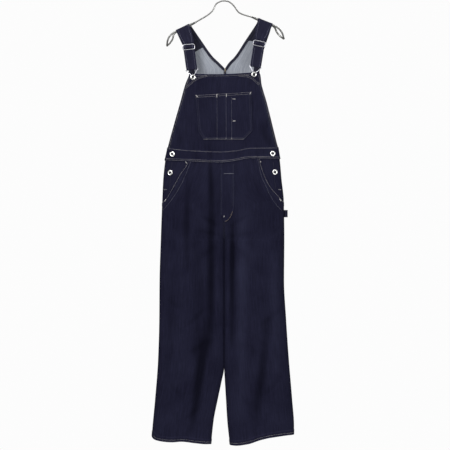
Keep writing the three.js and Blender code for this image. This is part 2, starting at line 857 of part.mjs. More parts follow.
// A band sewn into the right side seam that stands out and returns to the back of the leg
function hammerLoop() {
  const middle = (HAMMER.top + HAMMER.foot) / 2;
  const sideX = at(FRONT_SECTIONS, "right", middle);
  const lie = DENIM / 2 + 0.5;
  const onBack = (distance) => {
    const p = facePoint(BACK, sideX - distance, middle, 0);
    return [p.x, p.y + lie];
  };
  const path = [
    [sideX + lie, 1.5],
    [sideX + HAMMER.reach * 0.75, 5],
    [sideX + HAMMER.reach - DENIM / 2, 14],
    [sideX + HAMMER.reach * 0.55, 25],
    [sideX - 6, 31],
    onBack(HAMMER.length * 0.65),
    onBack(HAMMER.length * 0.85),
    onBack(HAMMER.length),
  ];
  const stations = path.map(([x, y]) => ({
    centre: new THREE.Vector3(x, y, middle),
    width: new THREE.Vector3(0, 0, 1),
    half: (HAMMER.top - HAMMER.foot) / 2,
  }));
  add("hammer_loop", ribbon(stations, DENIM), denim);
}

function wire(points, radius, count) {
  const section = new THREE.Shape();
  section.setFromPoints(
    steps(8, 0, 2 * Math.PI)
      .slice(0, -1)
      .map((a) => new THREE.Vector2(radius * Math.cos(a), radius * Math.sin(a))),
  );
  const curve = new THREE.CatmullRomCurve3(points, false, "centripetal");
  return new THREE.ExtrudeGeometry(section, { steps: count, extrudePath: curve });
}

function solid(geometry) {
  const bare = geometry.clone();
  bare.deleteAttribute("normal");
  bare.deleteAttribute("uv");
  const merged = mergeVertices(bare, 1e-4);
  const part = new wasm.Mesh({
    numProp: 3,
    vertProperties: new Float32Array(merged.attributes.position.array),
    triVerts: new Uint32Array(merged.index.array),
  });
  return new wasm.Manifold(part);
}

function fromSolid(joinedSolid) {
  const { vertProperties, triVerts, numProp } = joinedSolid.getMesh();
  const geometry = new THREE.BufferGeometry();
  const buffer = new THREE.InterleavedBuffer(vertProperties, numProp);
  geometry.setAttribute("position", new THREE.InterleavedBufferAttribute(buffer, 3, 0));
  geometry.setIndex(new THREE.BufferAttribute(triVerts, 1));
  return geometry;
}

// One shoulder loop: out along the front strand, round the tip and back along the other
function shoulderLoop(side) {
  const s = STRAPS[side];
  const outward = side === "left" ? -1 : 1;
  const { shoulder } = strapPlaces(side);
  const { width } = tilted(s.shoulderTilt);
  const alongArm = (distance) => shoulder.clone().addScaledVector(width, outward * distance);
  const tip = new THREE.Vector3(s.loopTip[0], 0, s.loopTip[1]);
  const half = LOOP_HALF_DEPTH;
  const fall = tip.clone().sub(alongArm(LOOP_TURN)).normalize();
  const aside = new THREE.Vector3(-outward * fall.z, 0, outward * fall.x);
  const strand = (sign) => {
    const bowed = (t, depth) =>
      alongArm(LOOP_TURN)
        .lerp(tip, t)
        .addScaledVector(aside, LOOP_BOW[sign < 0 ? "front" : "back"] * Math.sin(Math.PI * t))
        .setY(sign * half * depth);
    return [
      alongArm(-LOOP_START),
      alongArm(-38).setY(sign * half * 0.62),
      alongArm(-31).setY(sign * half * 0.93),
      alongArm(-26).setY(sign * half),
      alongArm(0).setY(sign * half),
      alongArm(26).setY(sign * half),
      bowed(0.08, 1),
      bowed(0.4, 0.94),
      bowed(0.7, 0.76),
      bowed(0.9, 0.45),
    ];
  };
  return solid(wire([...strand(-1), tip, ...strand(1).reverse()], HANGER_WIRE, 40));
}

function hanger() {
  const arm = (side) => {
    const { width } = tilted(STRAPS[side].shoulderTilt);
    const inward = side === "left" ? 1 : -1;
    return strapPlaces(side).shoulder.addScaledVector(width, inward * ARM_JOINT);
  };
  const arch = ARCH.map(([x, z]) => new THREE.Vector3(x, 0, z));
  const bow = solid(wire([arm("left"), ...arch, arm("right")], HANGER_WIRE, 30));
  const whole = bow.add(shoulderLoop("left")).add(shoulderLoop("right"));
  add("hanger", fromSolid(whole), steel);
}

hanger();
for (const side of ["left", "right"]) {
  fasteners(side);
  frontLeg(side);
  hipPiece(side);
  backLeg(side);
  backBib(side);
}
bib();
bibPocket();
frontWaistband();
fly();
sideButtons();
hammerLoop();

const group = new THREE.Group();
group.add(...Object.values(mesh));
export default group;
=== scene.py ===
# Looks of denim dungarees on a wire hanger: cloth shells, sewing, metal fittings, light and camera.
# Tables are in millimetres in the part's frame: X to the right, -Y out of the front, Z up.
import math

import bpy
import numpy as np
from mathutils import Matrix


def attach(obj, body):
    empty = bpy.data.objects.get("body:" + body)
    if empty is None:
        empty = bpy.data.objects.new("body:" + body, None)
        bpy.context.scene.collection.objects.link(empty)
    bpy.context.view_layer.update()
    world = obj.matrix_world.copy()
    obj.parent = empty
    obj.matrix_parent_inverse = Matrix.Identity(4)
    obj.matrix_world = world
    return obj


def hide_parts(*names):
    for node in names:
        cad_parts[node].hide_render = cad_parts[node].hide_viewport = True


MM = 0.001

SIDES = ("left", "right")
OUTWARD = {"left": -1, "right": 1}

# Cloth
DENIM = 1.6
SEAM = 0.3
SIDE_LAP = 0.2
LAY_GAP = 0.45
FLY_THICK = 1.2
STRAP_THICK = 1.9
RIM_PINCH = 0.62  # share of the thickness that a cut edge keeps
RIM_TURN = 4  # how far the cloth's face reaches round a cut edge
ROUNDNESS = 0.8
BIB_FOOT = -507.7
LEG_HEAD = -508
BACK_SEAM = -500
WAIST = -507
WAIST_STIFF = 34
SCOOP_FOOT = -664
CROTCH_TOP = -690
CROTCH = -787
LEG_UPPER_FOOT = -680
LEG_LENGTH = 780
HIP_TURN = 0.7
FLY_HEAD = -536
FLY_ROW_HEAD = -538
FLY_LEFT = -15
FLY_RIGHT = 31
CENTRE_SEAM = -3
PLACKET = 22
HIP_PIECE_LAP = [1.06, 1.12]
PUCKER_DEPTH = 0.14
PUCKER_LENGTH = 2.9

# Width and rise of turned and doubled edges
BIB_TOP_TURN = (13, 0.8)
BIB_SIDE_TURN = (11, 0.8)
POCKET_TURN = (7, 0.5)
POCKET_HEAD_TURN = (11, 0.7)
BAND_TOP_TURN = (5, 0.5)
BAND_FOOT_TURN = (8, 0.5)
FLY_HOOK_TURN = (3, 0.3)
FLY_LEFT_TURN = (4, 0.4)
LEG_HEM_TURN = (16, 0.9)
SCOOP_TURN = (10, 0.7)
BACK_WAIST_TURN = (10, 0.6)
SEAT_TURN = (8, 0.5)
NECK_TURN = (9.5, 0.7)
ARM_TURN = (20, 0.7)
SPINE_TURN = (4.5, 0.5)
INSIDE_RISE = 0.9
BIB_INSIDE_RISE = 0.6
LEG_INSIDE_RISE = 0.8
STRAP_EDGE_RISE = 0.3
LOOP_EDGE_RISE = 0.15

# Straps
STRAP_HALF = 20
CLIP_STRAP_HALF = (17.3, 19)  # at the clip's bar and just above it
SLIDER_STRAP_HALF = (18.2, 22)  # in the slider and above it
TAIL_LIFT = 2.9
WEAVE = 3
WEAVE_EASE = 10
TAIL_STEPS = (3.4, 5.5, 8, 11, 16, 24)  # back from the slider's middle
LOWER_STEPS = [7, 15, 30]  # up from the clip's bar
BACK_TACK_ROWS = (4, 30)
BACK_TACK_INSET = 3.5
HAMMER_TOP = -688
HAMMER_FOOT = -712
HAMMER_REACH = 12
HAMMER_LENGTH = 46
HAMMER_LIE = 0.5

# Metal
WIRE_SIDES = 14
TURNED_SIDES = 48
HANGER_WIRE = 2
LOOP_WIRE = 2.9
BOW_WIRE = 2.3
WELD_WIRE = 2.8
LOOP_HALF_DEPTH = 17
LOOP_BOW = {-1: 7, 1: -5}
LOOP_TURN = 33
ARM_JOINT = 43
WIRE_GAP = 0.6
HORN_GAP = 1.6
CLIP_HALF = 1.3
CLIP_LIFT = 0.7
CLIP_BAR = 19.3
CLIP_DROP = 27
CLIP_RING = 6.6
CLIP_CORNER = 2.6
BAR_GAP = 0.4
SLIDER_WIDTH = 42
SLIDER_HEIGHT = 18.7
SLIDER_BAR = 2.4
SLIDER_WIRE = 1.45
SLIDER_MIDDLE_WIRE = 1.15
SLIDER_CORNER = 6
SLIDER_LIFT = 1.6
BAR_STEP = SLIDER_HEIGHT / 2 - SLIDER_BAR / 2
SLIDER_STEPS = (-16, -12, -BAR_STEP, -6, -4, -2, 0, 2, 4, 6, BAR_STEP, 12, 16)
BUTTON = 8.7
BUTTON_RIM = 1.25
BUTTON_POST = 3.1
SOCKET = 4.8
BUTTON_LIFT = 0.35
SIDE_BUTTON_SHANK = 0.9
SIDE_BUTTON_GAP = 0.5
HIP_BUTTON_GAP = 0.6
FACET_SAG = 0.75

# Radius and height above the shank of a button's dish and hole
BUTTON_DISH = [(6.8, 2.2), (6.3, 2.05), (5.8, 2.05), (5.4, 2.2)]
BUTTON_HOLE = [(5.1, 2.3), (SOCKET, 2.1), (4.6, 1.3), (4.4, 0.5), (1.8, 0.4), (0, 0.35)]

# One side of a wire loop, each with a share of its depth: first by distance from the shoulder's
# middle, then by share of the way from the shoulder to the tip
LOOP_SHOULDER = [(-46, 0), (-38, 0.62), (-31, 0.93), (-26, 1), (0, 1), (26, 1)]
LOOP_FALL = [(0.08, 1), (0.4, 0.94), (0.7, 0.76), (0.9, 0.45)]

# Floor
FLOOR_LEVEL = -1600
FLOOR_RADIUS = 480
FLOOR_SIDES = 96

# Camera and lights, in metres
CAMERA_DISTANCE = 9.0
CAMERA_LEVEL = -0.7375
LENS = 24.244 * CAMERA_DISTANCE

# Where each light stands, where it aims, its width and height, and its power
LIGHTS = {
    "key_light": ((-1.5, -3.0, 0.6), (0, 0, -0.7), (1.2, 1.8), 78),
    "fill_light": ((1.9, -2.9, -0.4), (0, 0, -0.8), (1.2, 1.8), 40),
    "top_light": ((0.2, -0.4, 1.5), (0, 0, -0.5), (1.4, 1.0), 10),
    "back_light": ((0.4, 3.1, 0.2), (0, 0, -0.7), (1.6, 1.6), 95),
}

# Sewing
STITCH_PITCH = 3.7
STITCH_FILL = 0.82
THREAD = 0.4
THREAD_SIDES = 5
THREAD_CLEAR = 0.02
TACK_THREAD = 0.36
TACK_PITCH = 0.72
TACK_WIDTH = 2.3
TACK_LEAN = 0.3
TACK, PALE, BLUE, DIM, TONAL, TAN = range(6)
TWILL_RIDGES = 1250.0  # in a metre

# Along a stitch: share of its length, width and lift as shares of the thread
STITCH_RINGS = np.array([[0.0, 0.35, -0.55], [0.22, 0.95, 0.45], [0.78, 0.95, 0.45], [1.0, 0.35, -0.55]])

# A point of the chest, and x of one in a leg and one in a back half, for the side that rows lie on
CHEST = (-4, -380)
IN_LEG = 100
IN_BACK = 70

# Rows of stitches: distances from an edge or a line, and the thread
ROWS = {
    "bib top": ([6], PALE),
    "bib side": ([5], PALE),
    "bib side inner": ([9], TONAL),
    "bib corner": ([0, 4.2], PALE),
    "pocket edge": ([2.2, 7], TONAL),
    "pocket head": ([1.8, 7.6], PALE),
    "pocket foot": ([1.6], PALE),
    "pocket foot inner": ([5], DIM),
    "pocket corner": ([2.5], DIM),
    "pocket divider": ([0], DIM),
    "waistband top": ([3.4], PALE),
    "waistband foot": ([2.6, 7], PALE),
    "fly right": ([3, 7.5], TONAL),
    "fly hook": ([3], TAN),
    "fly left": ([2.4], TONAL),
    "hem": ([7.5], PALE),
    "scoop": ([1.8], PALE),
    "scoop inner": ([0], DIM),
    "front rise": ([2.6], TONAL),
    "placket": ([0], TONAL),
    "back waist": ([2.4, 8], PALE),
    "seat left": ([2.6], PALE),
    "seat right": ([2.6, 8], PALE),
    "neck": ([2.4, 8], PALE),
    "armhole": ([2.4, 9.5], PALE),
    "spine left": ([2.4], PALE),
    "spine right": ([2.4, 8], PALE),
}
STRAP_ROW = 5.8
HAMMER_ROW = 2.6

# x, z, angle from level, length and thread of the close bars that fasten a row's end
TACKS = {
    "bib_pocket": [
        (-93, -313.5, -45, 8, TACK),
        (83.5, -303.5, 60, 8, TACK),
        (-27, -312, 90, 10, TACK),
        (4.5, -310.5, 90, 10, TACK),
        (30, -323, 0, 9, TACK),
        (30, -395.5, 0, 8, TACK),
        (-26.4, -453, 90, 5, PALE),
        (3.3, -453, 90, 5, PALE),
        (21.5, -453, 90, 5, PALE),
    ],
    "fly": [(12.5, -568.5, 0, 32, DIM), (-3, -709, 70, 5, TACK)],
    "front_leg_left": [(-128, -531, -60, 8, TACK), (-196, -656, 60, 8, TACK)],
    "front_leg_right": [(117, -529, 80, 4, TACK), (182, -655, -60, 8, TACK)],
    "hip_piece_left": [(-198.5, -621, 0, 8, PALE)],
    "hip_piece_right": [(182, -621, 0, 8, PALE)],
    "back_bib_left": [],
    "back_bib_right": [(0.5, -225, 90, 11, TAN)],
}

# From the shoulder to the waist: z, left side, right side, how far the side stands out, bulge
FRONT_SECTIONS = [
    (-232, -114, 112, 22, 5),
    (-246, -119, 117, 22, 6),
    (-272, -130, 120, 21, 8),
    (-299, -138, 127, 20, 9),
    (-325, -145, 135, 18, 11),
    (-391, -164, 152, 12, 18),
    (-457, -182, 168, 4, 27),
]
BACK_SECTIONS = [
    (-50, -168, 160, 17.6, 0.6),
    (-94, -158, 150, 17.6, 0.8),
    (-127, -145, 139, 17.6, 1),
    (-160, -135, 128, 18, 2),
    (-193, -128, 119, 19, 4),
    (-240, -119, 114, 20, 7),
    (-292, -133, 122, 20, 11),
    (-358, -153, 142, 15, 16),
    (-424, -171, 158, 8, 24),
]

# The rest of both faces: z, left side, right side, bulge of the front, bulge of the back
LOWER_SECTIONS = [
    (-490, -190, 176, 32, 32),
    (-523, -197, 181, 33, 34),
    (-589, -204, 187, 34, 38),
    (-655, -207, 194, 35, 40),
    (-787, -212, 196, 35, 38),
    (-919, -216, 195, 33, 34),
    (-1051, -217, 202, 32, 33),
    (-1183, -221, 211, 32, 33),
    (-1315, -231, 222, 34, 35),
    (-1400, -239, 228, 36, 36),
    (-1465, -244, 226, 38, 38),
]

# z, left, right
INNER_EDGES = [
    (-50, 0, 0),
    (-500, -1.8, -2.2),
    (-690, -2.3, -3.7),
    (-787, -2.2, -3.8),
    (-1200, -2.2, -3.8),
    (-1216, -3.2, -3),
    (-1249, -10, -1),
    (-1315, -24, 3),
    (-1381, -37, 7),
    (-1465, -46, 16),
]
NECK_EDGES = [
    (-50, -130, 117),
    (-74, -115, 103),
    (-127, -79, 68),
    (-180, -41, 33),
    (-203, -17, 11),
    (-220, 0, 0),
]
SCOOP_EDGES = [
    (-508, -116, 110),
    (-538, -126, 118),
    (-569, -147, 128),
    (-612, -171, 150),
    (-643, -189, 177),
    (-664, -207, 196),
]
SCOOP_ROW_EDGES = [
    (-520, -110, 107),
    (-539, -116, 111),
    (-575, -131, 119),
    (-602, -143, 131),
    (-646, -170, 152),
    (-673, -191, 171),
    (-690, -206, 187),
]

# x and z along the sewing of the bib's two top corners
BIB_CORNERS = [
    [(-59, -245), (-84, -250), (-104, -261), (-133, -287)],
    [(45, -244), (75, -246), (93, -255), (114, -274)],
]

# q from the outseam to the inseam, left hem, right hem
HEMS = [
    (0, -1432, -1428),
    (0.2, -1447, -1430),
    (0.4, -1452, -1437),
    (0.5, -1450, -1444),
    (0.65, -1455, -1459),
    (0.8, -1459, -1464),
    (1, -1460, -1462),
]

# x, top, foot
WAISTBAND = [
    (-198, -481, -525),
    (-113, -490, -529),
    (-12, -494, -533),
    (49, -488, -525),
    (76, -482, -519),
    (182, -480, -520),
]

# x, foot
FLY = [(-15, -706), (-8, -717), (0, -728), (9, -724), (17, -717), (25, -700), (31, -676)]

# z, left, right, in straight lines, and the head's z at left and right
POCKET = [(-457, -70, 62), (-428, -88, 91), (-306, -97, 87)]
POCKET_HEAD = (-310, -299)
POCKET_DIVIDERS = (-26.4, 3.3, 21.5)

# Folds: x1, z1, x2, z2, width, depth, with ridges below 0
FRONT_FOLDS = [
    (-44, -530, -46, -1180, 13, 6.2),
    (-52, -1040, -115, -1440, 15, 6),
    (-124, -560, -128, -900, 10, 4),
    (-90, -640, -86, -1380, 24, 2.4),
    (-165, -720, -190, -1300, 16, 2),
    (24, -700, 22, -1180, 10, 6),
    (60, -600, 52, -1400, 20, -6),
    (118, -560, 124, -1120, 12, 1.4),
    (150, -1000, 92, -1450, 16, 4.5),
    (160, -760, 172, -1250, 18, -4),
    (-140, -420, -172, -560, 12, 4),
    (120, -400, 150, -500, 12, 3),
]
BACK_FOLDS = [
    (60, -560, 70, -980, 14, 6),
    (-70, -540, -62, -1010, 15, 6),
    (-130, -700, -150, -1300, 18, 5),
    (120, -820, 100, -1400, 17, 6),
    (-95, -900, -80, -1380, 18, -5),
    (150, -560, 160, -900, 16, -4),
    (-40, -240, -60, -420, 14, 4),
    (45, -260, 62, -450, 14, 4),
]

# Finer creases of the same kind, which also run through the waist
FRONT_CREASES = [
    (-52, -415, -45, -680, 8, 3.4),
    (24, -733, 25, -900, 7, 2.6),
    (-20, -246, -17, -330, 5, 1.3),
    (-10, -246, -9, -306, 4, -1.6),
    (-9, -455, -9, -535, 4, -1.6),
    (-9, -560, -9, -705, 4, -1.4),
    (-21, -530, -22, -720, 6, 1.8),
    (34, -440, 40, -580, 9, 1.3),
    (-96, -455, -100, -560, 9, 1.5),
    (104, -450, 112, -570, 9, 1.6),
    (-12, -748, -92, -700, 7, 1.9),
    (12, -745, 88, -702, 7, 1.9),
    (-14, -772, -104, -752, 7, 1.4),
    (14, -776, 108, -765, 7, 1.3),
    (-22, -800, -84, -850, 8, 1.3),
    (18, -800, 80, -858, 8, 1.3),
    (-205, -700, -150, -760, 9, 1.5),
    (192, -730, 140, -790, 9, 1.5),
    (-60, -1010, -146, -1084, 9, 1.9),
    (-196, -980, -120, -1030, 9, 1.5),
    (-30, -1110, -120, -1160, 10, 1.7),
    (70, -948, 152, -1004, 9, 1.7),
    (190, -1010, 110, -1078, 10, 1.8),
    (50, -1080, 138, -1140, 9, 1.6),
    (40, -860, 70, -1020, 9, -1.8),
    (-150, -830, -140, -1000, 10, -1.6),
    (-190, -1250, -120, -1330, 10, 1.8),
    (196, -1230, 128, -1300, 10, 1.8),
    (-80, -1330, -160, -1400, 9, 1.5),
    (40, -1290, 110, -1352, 9, 1.5),
    (180, -1350, 190, -1450, 8, 1.4),
    (-190, -1370, -205, -1452, 8, 1.5),
    (-140, -1385, -150, -1470, 7, 1.3),
    (60, -1390, 66, -1480, 7, 1.3),
    (-66, -540, -60, -640, 10, -1.2),
    (70, -530, 78, -650, 10, 1.2),
]
BACK_CREASES = [
    (-14, -752, -100, -700, 8, 2.1),
    (12, -748, 104, -704, 8, 2.1),
    (-16, -782, -112, -770, 8, 1.7),
    (14, -786, 110, -776, 8, 1.7),
    (-120, -520, -96, -660, 9, 1.4),
    (104, -520, 92, -660, 9, 1.4),
    (-30, -430, -40, -560, 8, 1.5),
    (36, -440, 30, -570, 8, 1.5),
    (-100, -330, -120, -440, 10, 1.6),
    (92, -320, 112, -430, 10, 1.6),
    (-180, -960, -90, -1030, 9, 1.8),
    (-40, -1000, -130, -1090, 10, 1.8),
    (170, -970, 80, -1040, 9, 1.8),
    (40, -1030, 140, -1110, 10, 1.8),
    (-190, -1200, -110, -1290, 10, 1.7),
    (190, -1210, 120, -1300, 10, 1.7),
    (-90, -1340, -170, -1410, 9, 1.5),
    (60, -1310, 140, -1390, 9, 1.5),
    (-150, -1380, -156, -1475, 8, 1.4),
    (110, -1390, 116, -1480, 8, 1.4),
]

STRAPS = {
    "left": dict(
        button=(-105.6, -251),
        clip_tilt=8,
        slider=(-119.4, -151.7),
        slider_tilt=5,
        shoulder=(-138.6, -89),
        shoulder_tilt=25.7,
        shoulder_half=24,
        end=(-115, -152),
        loop_tip=(-191, -146),
        faced_above=(-66, -146, 0.6),
    ),
    "right": dict(
        button=(95.7, -242),
        clip_tilt=-10.7,
        slider=(112.8, -140.7),
        slider_tilt=-12,
        shoulder=(132.2, -69),
        shoulder_tilt=-21.8,
        shoulder_half=25.5,
        end=(108, -136),
        loop_tip=(194, -123),
        faced_above=(70, -126, -0.2),
    ),
}

# x and z along the hanger's arch
ARCH = [
    (-54.5, -43),
    (-39.6, -28.5),
    (-29.7, -9),
    (-15, 0),
    (0, 2),
    (15, -2),
    (29.7, -15),
    (46.2, -36.5),
]

# x, z, and the hip piece that a button is on
SIDE_BUTTONS = {
    "side_button_left_upper": (-170.5, -504, None),
    "side_button_left_lower": (-181.5, -565, "left"),
    "side_button_right_upper": (154, -502, None),
    "side_button_right_lower": (165, -563, "right"),
}


# Curves and surfaces


def weights(t):
    """What a smooth curve takes of its first point, of the slope there and of the slope at its end."""
    return 2 * t**3 - 3 * t**2 + 1, t**3 - 2 * t**2 + t, t**3 - t**2


def hermite(keys, values):
    """A smooth curve through values at rising keys, which never overshoots them."""
    keys, values = np.array(keys, float), np.array(values, float)
    spans = np.diff(keys)
    slopes = np.diff(values, axis=0) / (spans if values.ndim == 1 else spans[:, None])
    before, after = slopes[:-1], slopes[1:]
    agree = before * after > 0
    bends = np.where(agree, 2 * before * after / np.where(agree, before + after, 1), 0)
    tangents = np.concatenate([slopes[:1], bends, slopes[-1:]])

    def value(key):
        key = np.clip(key, keys[0], keys[-1])
        i = np.clip(np.searchsorted(keys, key, side="right") - 1, 0, len(spans) - 1)
        span = spans[i]
        t = (key - keys[i]) / span
        if values.ndim > 1:
            t, span = t[..., None], span[..., None]
        a, b, c = weights(t)
        return a * values[i] + (1 - a) * values[i + 1] + span * (b * tangents[i] + c * tangents[i + 1])

    return value


def columns(names, rows):
    """A curve for each named column of a table, over its first column."""
    data = np.array(sorted(rows), float)
    return {name: hermite(data[:, 0], data[:, i + 1]) for i, name in enumerate(names)}


def face_curves(upper, bulge, **others):
    """The front or the back; bulge is the column of LOWER_SECTIONS that it takes."""
    lower = [(row[0], row[1], row[2], 0, row[bulge]) for row in LOWER_SECTIONS]
    return dict(columns(("left", "right", "edge", "bulge"), upper + lower), **others)


FRONT = face_curves(FRONT_SECTIONS, 3, folds=FRONT_FOLDS, creases=FRONT_CREASES, sign=-1, phase=0.4)
BACK = face_curves(BACK_SECTIONS, 4, folds=BACK_FOLDS, creases=BACK_CREASES, sign=1, phase=2.3)
INNER = columns(SIDES, INNER_EDGES)
NECK = columns(SIDES, NECK_EDGES)
SCOOP = columns(SIDES, SCOOP_EDGES)
SCOOP_ROW = columns(SIDES, SCOOP_ROW_EDGES)
HEM = columns(SIDES, HEMS)
BAND = columns(("top", "foot"), WAISTBAND)
FLY_FOOT = columns(("foot",), FLY)["foot"]


def smooth(t):
    """A soft step from 0 to 1."""
    k = np.clip(t, 0, 1)
    return k * k * (3 - 2 * k)


def mix(a, b, t):
    return a + (b - a) * t


def unit(vectors):
    return vectors / np.maximum(np.linalg.norm(vectors, axis=-1, keepdims=True), 1e-12)


def joined(z):
    """1 where left and right are one tube, falling to 0 at the crotch."""
    fall = np.clip((CROTCH_TOP - z) / (CROTCH_TOP - CROTCH), 0, 1)
    return np.sqrt(1 - fall**2)


def pressed(folds, x, z):
    """How deep the folds press the cloth in."""
    depth = np.zeros(np.broadcast(x, z).shape)
    for x1, z1, x2, z2, width, deep in folds:
        dx, dz = x2 - x1, z2 - z1
        length = math.hypot(dx, dz)
        along = np.clip(((x - x1) * dx + (z - z1) * dz) / length**2, 0, 1)
        across = ((x - x1) * dz - (z - z1) * dx) / length
        depth = depth + deep * np.exp(-((across / width) ** 2)) * np.sin(np.pi * along) ** 0.7
    return depth


def rumple(face, x, z):
    """Slight unevenness of cloth that hangs free."""
    p = face["phase"]
    wide = np.sin(x / 21 + 1.7 * np.sin(z / 83 + p)) * np.sin(z / 49 + 0.9 * np.sin(x / 31 + p))
    fine = np.sin(x / 8.7 + z / 61 + 2 * np.sin(z / 37)) * np.sin(z / 24 + np.sin(x / 13) + p)
    return 0.65 * wide + 0.22 * fine


def fold_depth(face, x, z):
    waist = 1 - np.exp(-(((z - WAIST) / WAIST_STIFF) ** 2))
    return pressed(face["folds"], x, z) * waist + pressed(face["creases"], x, z) + rumple(face, x, z)


def across_half(open_here, turn):
    """Share of the way across a half, which rounds at its side, and at its inseam in a leg."""
    return open_here * (1 - np.cos(turn / 2)) + (1 - open_here) * (0.5 - 0.5 * np.cos(turn))


def half_point(face, side, q, z, off=0.0):
    """A point of one half; q is 0 at the side and 1 at the centre or inseam."""
    q, z, off = np.broadcast_arrays(np.asarray(q, float), np.asarray(z, float), np.asarray(off, float))
    edge_x = face[side](z)
    inner_x = INNER[side](z) + OUTWARD[side] * SEAM / 2
    open_here = joined(z)
    turn = np.pi * np.clip(q, 0, 1)
    lift = open_here * np.sin(turn / 2) + (1 - open_here) * np.sin(turn)
    rise = np.maximum(lift, 0) ** ROUNDNESS
    sideways = open_here * np.cos(turn / 2) + (1 - open_here) * np.cos(turn)
    edge = face["edge"](z)
    flat = np.minimum(edge / 10, 1)
    x = edge_x + (inner_x - edge_x) * across_half(open_here, turn)
    fade = smooth(q / 0.14) * (1 - (1 - open_here) * smooth((q - 0.86) / 0.14))
    depth = edge + face["bulge"](z) * rise + off * (rise + (1 - rise) * flat)
    depth = depth - fade * fold_depth(face, x, z)
    y = face["sign"] * (depth - SIDE_LAP)
    return np.stack([x + OUTWARD[side] * off * (1 - flat) * sideways, y, z], axis=-1)


def half_across(face, side, x, z):
    """The q at which a half reaches an x."""
    low = np.zeros(np.broadcast(x, z).shape)
    high = np.ones_like(low)
    edge_x = face[side](z)
    inner_x = INNER[side](z) + OUTWARD[side] * SEAM / 2
    open_here = joined(z)
    for _ in range(26):
        middle = (low + high) / 2
        reached = edge_x + (inner_x - edge_x) * across_half(open_here, np.pi * middle)
        short = OUTWARD[side] * (reached - x) > 0
        low = np.where(short, middle, low)
        high = np.where(short, high, middle)
    return (low + high) / 2


def face_point(face, x, z, off=0.0):
    """A point of a face at an x and a z."""
    x, z, off = np.broadcast_arrays(np.asarray(x, float), np.asarray(z, float), np.asarray(off, float))
    left, right = (half_point(face, side, half_across(face, side, x, z), z, off) for side in SIDES)
    return np.where((x < INNER["left"](z))[..., None], left, right)


def whole_point(face, u, z, off=0.0):
    """A point of both halves in one sheet, u from 0 at the left side to 2 at the right."""
    left = half_point(face, "left", np.minimum(u, 1), z, off)
    right = half_point(face, "right", np.minimum(2 - u, 1), z, off)
    return np.where((u <= 1)[..., None], left, right)


def scoop_start(side, z):
    """The q at which a front leg begins, inside its scooped pocket mouth."""
    return np.where(z <= SCOOP_FOOT, 0, half_across(FRONT, side, SCOOP[side](z), z))


def hip_sink(side, q, z):
    """How far a hip piece lies behind the leg's face, nothing at the side seam."""
    start = scoop_start(side, z)
    share = np.where(start < 0.05, 1, np.minimum(q / np.maximum(start, 0.05) / HIP_TURN, 1))
    return (DENIM + LAY_GAP) * share


def bib_top(x):
    """Height of the bib's slightly hollow top edge."""
    return -240.7 + 0.0278 * x + 0.000373 * x * x


# Lines in the X Z plane, for hems and sewing


def line_of(curve, low, high, count=24, swap=False):
    """Points of a curve; swap is for a curve of x over z."""
    keys = np.linspace(low, high, count)
    values = curve(keys)
    return np.stack([values, keys] if swap else [keys, values], axis=-1)


def straight(*points):
    return np.array(points, float)


def inset(line, distance, towards):
    """A line moved sideways by a distance, to the side on which a given point lies."""
    run = unit(np.diff(line, axis=0))
    normal = np.stack([-run[:, 1], run[:, 0]], axis=-1)
    before = np.concatenate([normal[:1], normal])
    after = np.concatenate([normal, normal[-1:]])
    cosine = np.sum(before * after, axis=-1, keepdims=True)
    step = (before + after) / (1 + cosine)
    middle = len(line) // 2
    sign = np.sign(np.dot(normal[middle - 1], np.array(towards, float) - line[middle]))
    return line + sign * distance * step


def nearest(line, x, z):
    """Distance from points to a line."""
    best = np.full(np.shape(x), 1e9)
    for (ax, az), (bx, bz) in zip(line[:-1], line[1:]):
        dx, dz = bx - ax, bz - az
        t = np.clip(((x - ax) * dx + (z - az) * dz) / (dx * dx + dz * dz), 0, 1)
        best = np.minimum(best, np.hypot(x - ax - t * dx, z - az - t * dz))
    return best


def relief(hems, x, z):
    """Rise of the cloth where it is turned or doubled, and masks for those bands and their edges."""
    rise = np.zeros(np.shape(x))
    band = np.zeros(np.shape(x))
    edge = np.zeros(np.shape(x))
    for line, width, height in hems:
        distance = nearest(line, x, z)
        inside = 1 - smooth((distance - width) / 3)
        rise = np.maximum(rise, height * inside)
        band = np.maximum(band, inside)
        edge = np.maximum(edge, np.exp(-distance / 2.2) + 0.6 * np.exp(-(((distance - width) / 1.6) ** 2)))
    return rise, band, np.clip(edge, 0, 1)


# Meshes


def enclosed_volume(points, faces):
    total = 0.0
    for size in {len(f) for f in faces}:
        group = np.array([f for f in faces if len(f) == size])
        for k in range(1, size - 1):
            a, b, c = points[group[:, 0]], points[group[:, k]], points[group[:, k + 1]]
            total += np.einsum("ij,ij->", a, np.cross(b, c))
    return total


def outwards(points, faces):
    """The faces of a closed mesh, turned outwards."""
    faces = [tuple(int(i) for i in f) for f in faces]
    if enclosed_volume(points - points.mean(0), faces) < 0:
        faces = [f[::-1] for f in faces]
    return faces


def mesh_object(name, points, faces, materials, slots=None, uv=None, marks=None):
    """A smooth mesh from points in millimetres; marks are values at its points."""
    points = np.asarray(points, float)
    faces = outwards(points, faces)
    mesh = bpy.data.meshes.new(name)
    mesh.from_pydata((points * MM).tolist(), [], faces)
    for material in materials:
        mesh.materials.append(material)
    if slots is not None:
        mesh.polygons.foreach_set("material_index", np.asarray(slots, np.int32))
    if uv is not None:
        corners = np.empty(len(mesh.loops), np.int32)
        mesh.loops.foreach_get("vertex_index", corners)
        layer = mesh.uv_layers.new(name="Cloth")
        layer.data.foreach_set("uv", (np.asarray(uv, float)[corners] * MM).ravel())
    for mark, values in (marks or {}).items():
        layer = mesh.attributes.new(mark, "FLOAT", "POINT")
        layer.data.foreach_set("value", np.asarray(values, np.float32).ravel())
    mesh.polygons.foreach_set("use_smooth", np.ones(len(mesh.polygons), bool))
    mesh.update()
    made = bpy.data.objects.new(name, mesh)
    bpy.context.scene.collection.objects.link(made)
    return made


